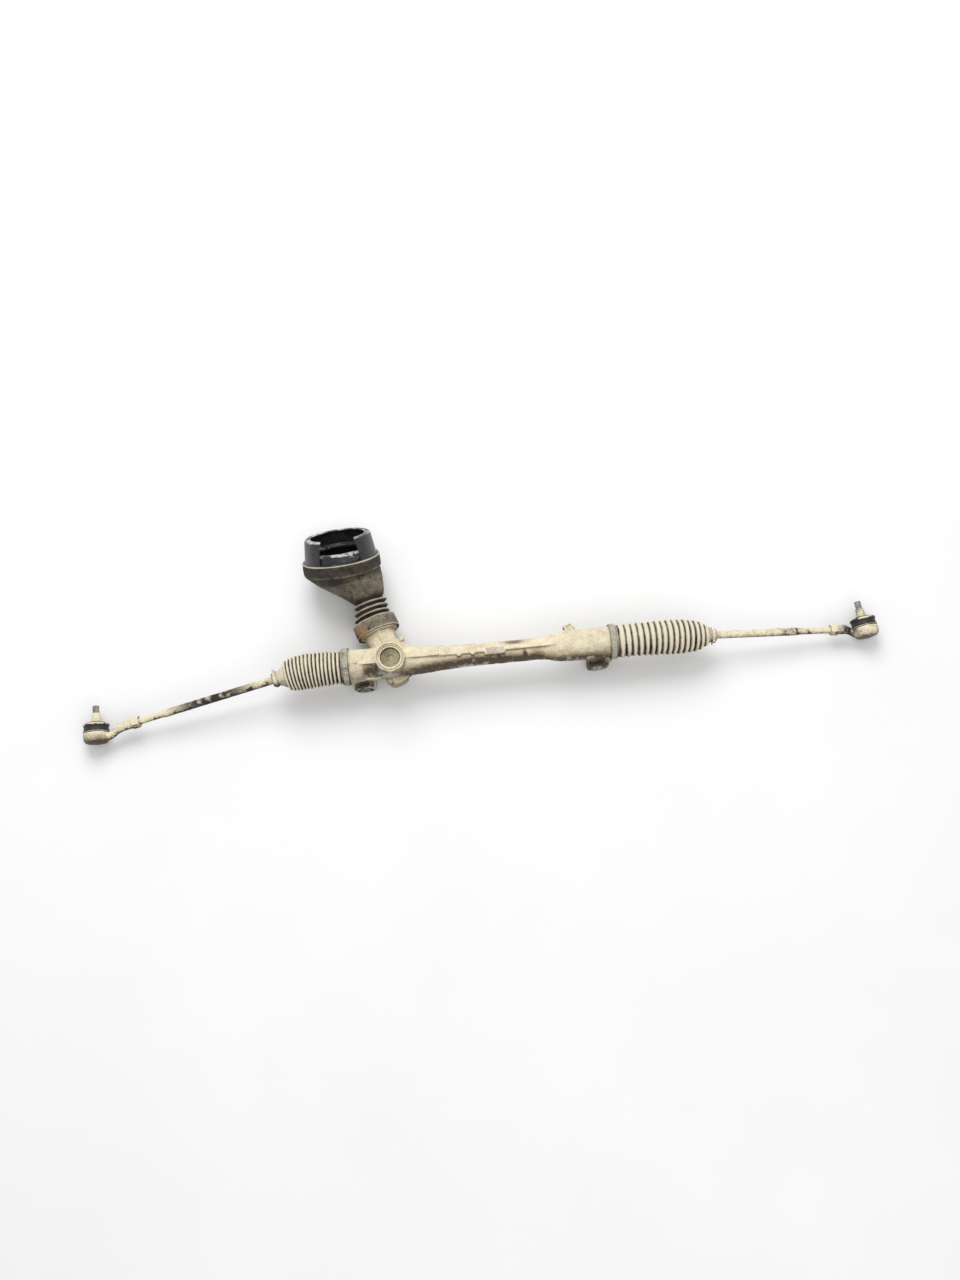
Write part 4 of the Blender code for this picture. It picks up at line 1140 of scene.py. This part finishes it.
def boot(side):
    """The dust boot is gripped by the rod end below and reaches up to the stud above. It is
    attached to neither; its lower wire moves with the rod and its upper wire with the stud.
    """
    centre, axis = OUTER_BALL[side], STUD_AXIS[side]
    profile = [
        (0.0176, 0.0021), (0.0176, 0.0038), (0.0184, 0.0044), (0.0181, 0.0062), (0.0174, 0.0085),
        (0.0179, 0.0110), (0.0188, 0.0130), (0.0189, 0.0147), (0.0176, 0.0156), (0.0140, 0.0157),
        (0.0112, 0.0162), (0.0100, 0.0168), (0.0100, 0.0185), (0.0088, 0.0185), (0.0088, 0.0162),
        (0.0110, 0.0142), (0.0168, 0.0134), (0.0160, 0.0085), (0.0155, 0.0021),
    ]
    thing = turned(f"{side}_rubber_boot", centre, axis, profile, True, 0.0006, 0.0006)
    # The widest bulge gets a high relief and comes out lighter and muddier: partly more mud, partly painted
    # light on the bulge.
    relief_by_radius(thing, centre, axis, 0.0180, 0.0189)
    roughened(thing, 0.00015, 0.006, 11)
    piece(
        thing, boot_rubber, (f"{side}_rod", f"{side}_outer_cup"), [f"{side}_dust_boot"], 45,
    )
    for name, node, radius, low, body in (
        ("lower_wire", "boot_ring", 0.0183, 0.0029, f"{side}_rod"),
        ("upper_wire", "boot_clip", 0.0109, 0.0176, f"{side}_stud"),
    ):
        wire = 0.0006
        turns = [
            (radius + wire * math.cos(a), low + wire * math.sin(a)) for a in np.linspace(
                0, 2 * math.pi, 12, endpoint=False
            )
        ]
        thing = turned(f"{side}_{name}", centre, axis, turns, True, 0.00001, 0.002)
        piece(thing, band_mud, body, [f"{side}_{node}"])


# --------------------------------------------------------------------------- column-hole cover


def along_tower(distance):
    return PINION_POINT + PINION_DIR * distance


def cover_stations():
    """Rows of centre, share of the way to the rim's direction, radius and relief."""

    def station(centre, share, radius, relief):
        return (*centre, share, radius, relief)

    neck_low, neck_high = along_tower(0.0770), Vector((-0.1545, 0.1000, -0.0150))
    collar = [
        station(along_tower(0.0525), 0.0, 0.0318, 0.35),
        station(along_tower(0.0530), 0.0, 0.0326, 0.80),
        station(along_tower(0.0560), 0.0, 0.0322, 0.42),
        station(along_tower(0.0690), 0.0, 0.0320, 0.52),
        station(along_tower(0.0712), 0.0, 0.0327, 0.95),
        station(along_tower(0.0722), 0.0, 0.0318, 0.55),
        # The step under the collar gets a low relief and comes out dark: a painted shadow beneath the
        # collar.
        station(along_tower(0.0738), 0.02, 0.0236, 0.02),
    ]
    # Crests get a high relief and come out lighter, the folds between them a low one and come out darker:
    # painted light on the crests and painted shade in the folds.
    ridges = []
    for k, radius in enumerate((0.0276, 0.0268, 0.0260)):
        crest = neck_low.lerp(neck_high, 0.16 + 0.36 * k)
        ridges += [
            station(crest - PINION_DIR * 0.0026, 0.05 + 0.09 * k, radius - 0.0034, 0.04),
            station(crest - PINION_DIR * 0.0007, 0.06 + 0.09 * k, radius - 0.0002, 0.90),
            station(crest + PINION_DIR * 0.0004, 0.07 + 0.09 * k, radius, 0.85),
            station(crest + PINION_DIR * 0.0017, 0.08 + 0.09 * k, radius - 0.0020, 0.06),
            station(crest + PINION_DIR * 0.0045, 0.10 + 0.09 * k, radius - 0.0052, 0.00),
        ]
    cone = [
        station(Vector((-0.1580, 0.1065, -0.0138)), 0.36, 0.0262, 0.40),
        station(Vector((-0.1640, 0.1160, -0.0115)), 0.50, 0.0330, 0.50),
        station(Vector((-0.1720, 0.1250, -0.0088)), 0.65, 0.0402, 0.50),
        station(Vector((-0.1800, 0.1340, -0.0060)), 0.80, 0.0475, 0.48),
        station(RIM_CENTRE - RING_NORMAL * 0.0062, 0.96, 0.0552, 0.20),
        station(RIM_CENTRE - RING_NORMAL * 0.0026, 1.0, 0.0573, 0.50),
        station(RIM_CENTRE + RING_NORMAL * 0.0010, 1.0, 0.0577, 0.14),
        station(RIM_CENTRE + RING_NORMAL * 0.0122, 1.0, 0.0573, 0.20),
        # The rim's top gets a high relief and comes out lighter and muddier: partly painted highlight.
        station(RIM_CENTRE + RING_NORMAL * 0.0138, 1.0, 0.0577, 0.97),
        station(RIM_CENTRE + RING_NORMAL * 0.0150, 1.0, 0.0570, 1.0),
    ]
    return collar + ridges + cone


def collar_marks(distance, steps):
    """Vague raised marks in a row round the collar band, without any lettering."""
    if not 0.0578 < distance < 0.0678:
        return np.zeros(steps)
    around = np.arange(steps)
    return 0.0007 * ((around % 7 < 4) & (np.sin(around * 0.9) > -0.6))


def column_cover():
    outside, inside, relief = [], [], []
    steps = 160
    for row in smooth_line(cover_stations(), 5):
        centre, share, radius, stands = Vector(row[:3]), row[3], row[4], row[5]
        direction = PINION_DIR.lerp(RING_NORMAL, min(1.0, max(0.0, share))).normalized()
        distance = (centre - PINION_POINT).dot(PINION_DIR)
        outside.append(ring_points(centre, direction, radius + collar_marks(distance, steps)))
        inside.append(ring_points(centre, direction, np.full(steps, radius - COVER_WALL)))
        relief.append(min(1.0, max(0.0, stands)))
    thing = skinned("rubber_cover", outside + inside[::-1], wrap=True)
    # The inside gets no relief and comes out darkest: painted shade inside the cover.
    with_relief(thing, np.repeat(relief + [0.0] * len(relief), steps))
    roughened(thing, 0.0006, 0.022, 13)
    roughened(thing, 0.00025, 0.005, 14)
    piece(thing, cover_rubber, "housing", ["column_cover"], 50)


def cover_ring():
    """The hard ring in the cover's mouth: an outer wall with an inturned lip and a gap at the
    front, and a lower inner wall whose rounded top shows in that gap."""
    centre = RIM_CENTRE + RING_NORMAL * 0.0060
    wall = [
        (0.0545, 0.0), (0.0545, 0.0098), (0.0532, 0.0110), (0.0494, 0.0395), (0.0484, 0.0420),
        (0.0466, 0.0430), (0.0405, 0.0430), (0.0398, 0.0420), (0.0405, 0.0408), (0.0455, 0.0405),
        (0.0468, 0.0390), (0.0508, 0.0105), (0.0440, 0.0095), (0.0440, 0.0),
    ]
    outer = turned("hard_ring", centre, RING_NORMAL, wall, True, 0.0006, 0.0015, steps=192)
    front = Vector((0.05, -0.52, 0.85))
    front = (front - RING_NORMAL * front.dot(RING_NORMAL)).normalized()
    side = RING_NORMAL.cross(front)
    facing = Matrix((side, RING_NORMAL, front)).transposed()
    gap = [
        (-0.0300, 0.0100), (0.0300, 0.0100), (0.0285, 0.0250), (0.0225, 0.0500), (-0.0225, 0.0500),
        (-0.0285, 0.0250)
    ]
    outer = combined(outer, [prism("gap", gap, 0.040, facing, centre + front * 0.045)], "DIFFERENCE")
    inner_wall = [
        (0.0502, 0.0030), (0.0500, 0.0110), (0.0486, 0.0200), (0.0466, 0.0226), (0.0440, 0.0224),
        (0.0425, 0.0206), (0.0370, 0.0204), (0.0350, 0.0216), (0.0335, 0.0206), (0.0335, 0.0170),
        (0.0430, 0.0160), (0.0430, 0.0030),
    ]
    inner = turned("inner", centre, RING_NORMAL, inner_wall, True, 0.0010, 0.0015, steps=192)
    ring = combined(outer, [inner], "UNION")
    points, normal = points_from(ring, centre), np.array(RING_NORMAL)
    heights, radii = points @ normal, radii_round(points, normal)
    # The lip's top and the inner wall's ledge in the gap get a high relief and come out lighter: partly
    # scuffs, partly painted highlight on these tops.
    lip = np.clip((heights - 0.0400) / 0.002, 0, 1)
    ledge = np.clip((heights - 0.0170) / 0.004, 0, 1) * (radii < 0.0485) * (heights < 0.0235) * (
        radii > 0.0330
    )
    ledge = ledge * (points @ np.array(front) > 0.012)
    with_relief(ring, 0.22 + 0.70 * np.clip(lip + 0.95 * ledge, 0, 1))
    roughened(ring, 0.00018, 0.012, 15)
    piece(ring, ring_plastic, "housing", ["cover_ring"], 35)


# --------------------------------------------------------------------------- CAD nodes that stay

KEPT = {
    inner_steel: ["rack_bar", "pinion_shaft", "pinion_upper_bearing", "pinion_lower_bearing", "rack_guide",
                  "left_inner_socket", "right_inner_socket"],
    dark_steel: ["guide_spring", "bearing_retainer", "left_lock_washer", "right_lock_washer"],
    seat_plastic: ["guide_liner", "rack_bush", "left_inner_seat", "right_inner_seat", "left_outer_seat",
                   "right_outer_seat"],
    seal_rubber: ["pinion_seal", "guide_o_ring"],
    cap_plastic: ["pinion_dust_cap"],
}


def finish_kept():
    for material, names in KEPT.items():
        for name in names:
            for material_slot in frame["nodes"][name].material_slots:
                material_slot.material = material


# --------------------------------------------------------------------------- stage


def floor():
    made = bmesh.new()
    bmesh.ops.create_grid(made, x_segments=8, y_segments=8, size=6)
    mesh = bpy.data.meshes.new("floor")
    made.to_mesh(mesh)
    made.free()
    thing = linked("floor", mesh)
    thing.location.z = FLOOR_Z
    material, tree, shader, where = fresh("pale_floor")
    soft = grain(tree, where, 3, 3)
    tree.links.new(
        ramp(tree, soft, [(0.3, (0.88, 0.88, 0.885)), (0.7, (0.91, 0.91, 0.91))]),
        shader.inputs["Base Color"]
    )
    tree.links.new(ranged(tree, soft, 0.2, 0.8, 0.85, 0.95), shader.inputs["Roughness"])
    shader.inputs["Specular IOR Level"].default_value = 0.1
    mesh.materials.append(material)


def area_light(name, place, target, size, watts):
    data = bpy.data.lights.new(name, "AREA")
    data.shape = "DISK"
    data.size, data.energy = size, watts
    lamp = linked(name, data)
    lamp.location = place
    lamp.rotation_euler = (Vector(target) - Vector(place)).to_track_quat("-Z", "Y").to_euler()


def lights():
    centre = (CAD_BOX[0] + CAD_BOX[1]) / 2
    area_light("key", centre + Vector((-0.2, 1.5, 2.0)), centre, 1.7, 38)
    area_light("fill", centre + Vector((0.4, -1.6, 1.9)), centre, 1.8, 9)
    world = bpy.data.worlds.new("studio")
    world.use_nodes = True
    background = world.node_tree.nodes["Background"]
    background.inputs["Color"].default_value = (1.0, 1.0, 1.0, 1)
    background.inputs["Strength"].default_value = 0.66
    bpy.context.scene.world = world
    bpy.context.scene.view_settings.view_transform = "Standard"


AZIMUTH, ELEVATION, DISTANCE = math.radians(-5.632), math.radians(75.21), 1.8229
AIM = Vector((0.00265, 0.02134, 0.0))


def camera():
    data = bpy.data.cameras.new("camera")
    data.lens, data.sensor_width = 35, 36
    eye = linked("camera", data)
    flat = math.cos(ELEVATION)
    back = Vector((math.sin(AZIMUTH) * flat, -math.cos(AZIMUTH) * flat, math.sin(ELEVATION)))
    right = Vector((math.cos(AZIMUTH), math.sin(AZIMUTH), 0))
    eye.matrix_world = Matrix.Translation(AIM + ORIGIN + back * DISTANCE) @ Matrix(
        (right, back.cross(right), back)
    ).transposed().to_4x4()
    bpy.context.scene.camera = eye


housing()
data_plate()
fittings()
for side_name in SIGN:
    bellows(side_name)
    clamp(side_name)
    clip(side_name)
    tie_rod(side_name)
    jam_nut(side_name)
    rod_end(side_name)
    stud(side_name)
    boot(side_name)
column_cover()
cover_ring()
finish_kept()
floor()
lights()
camera()
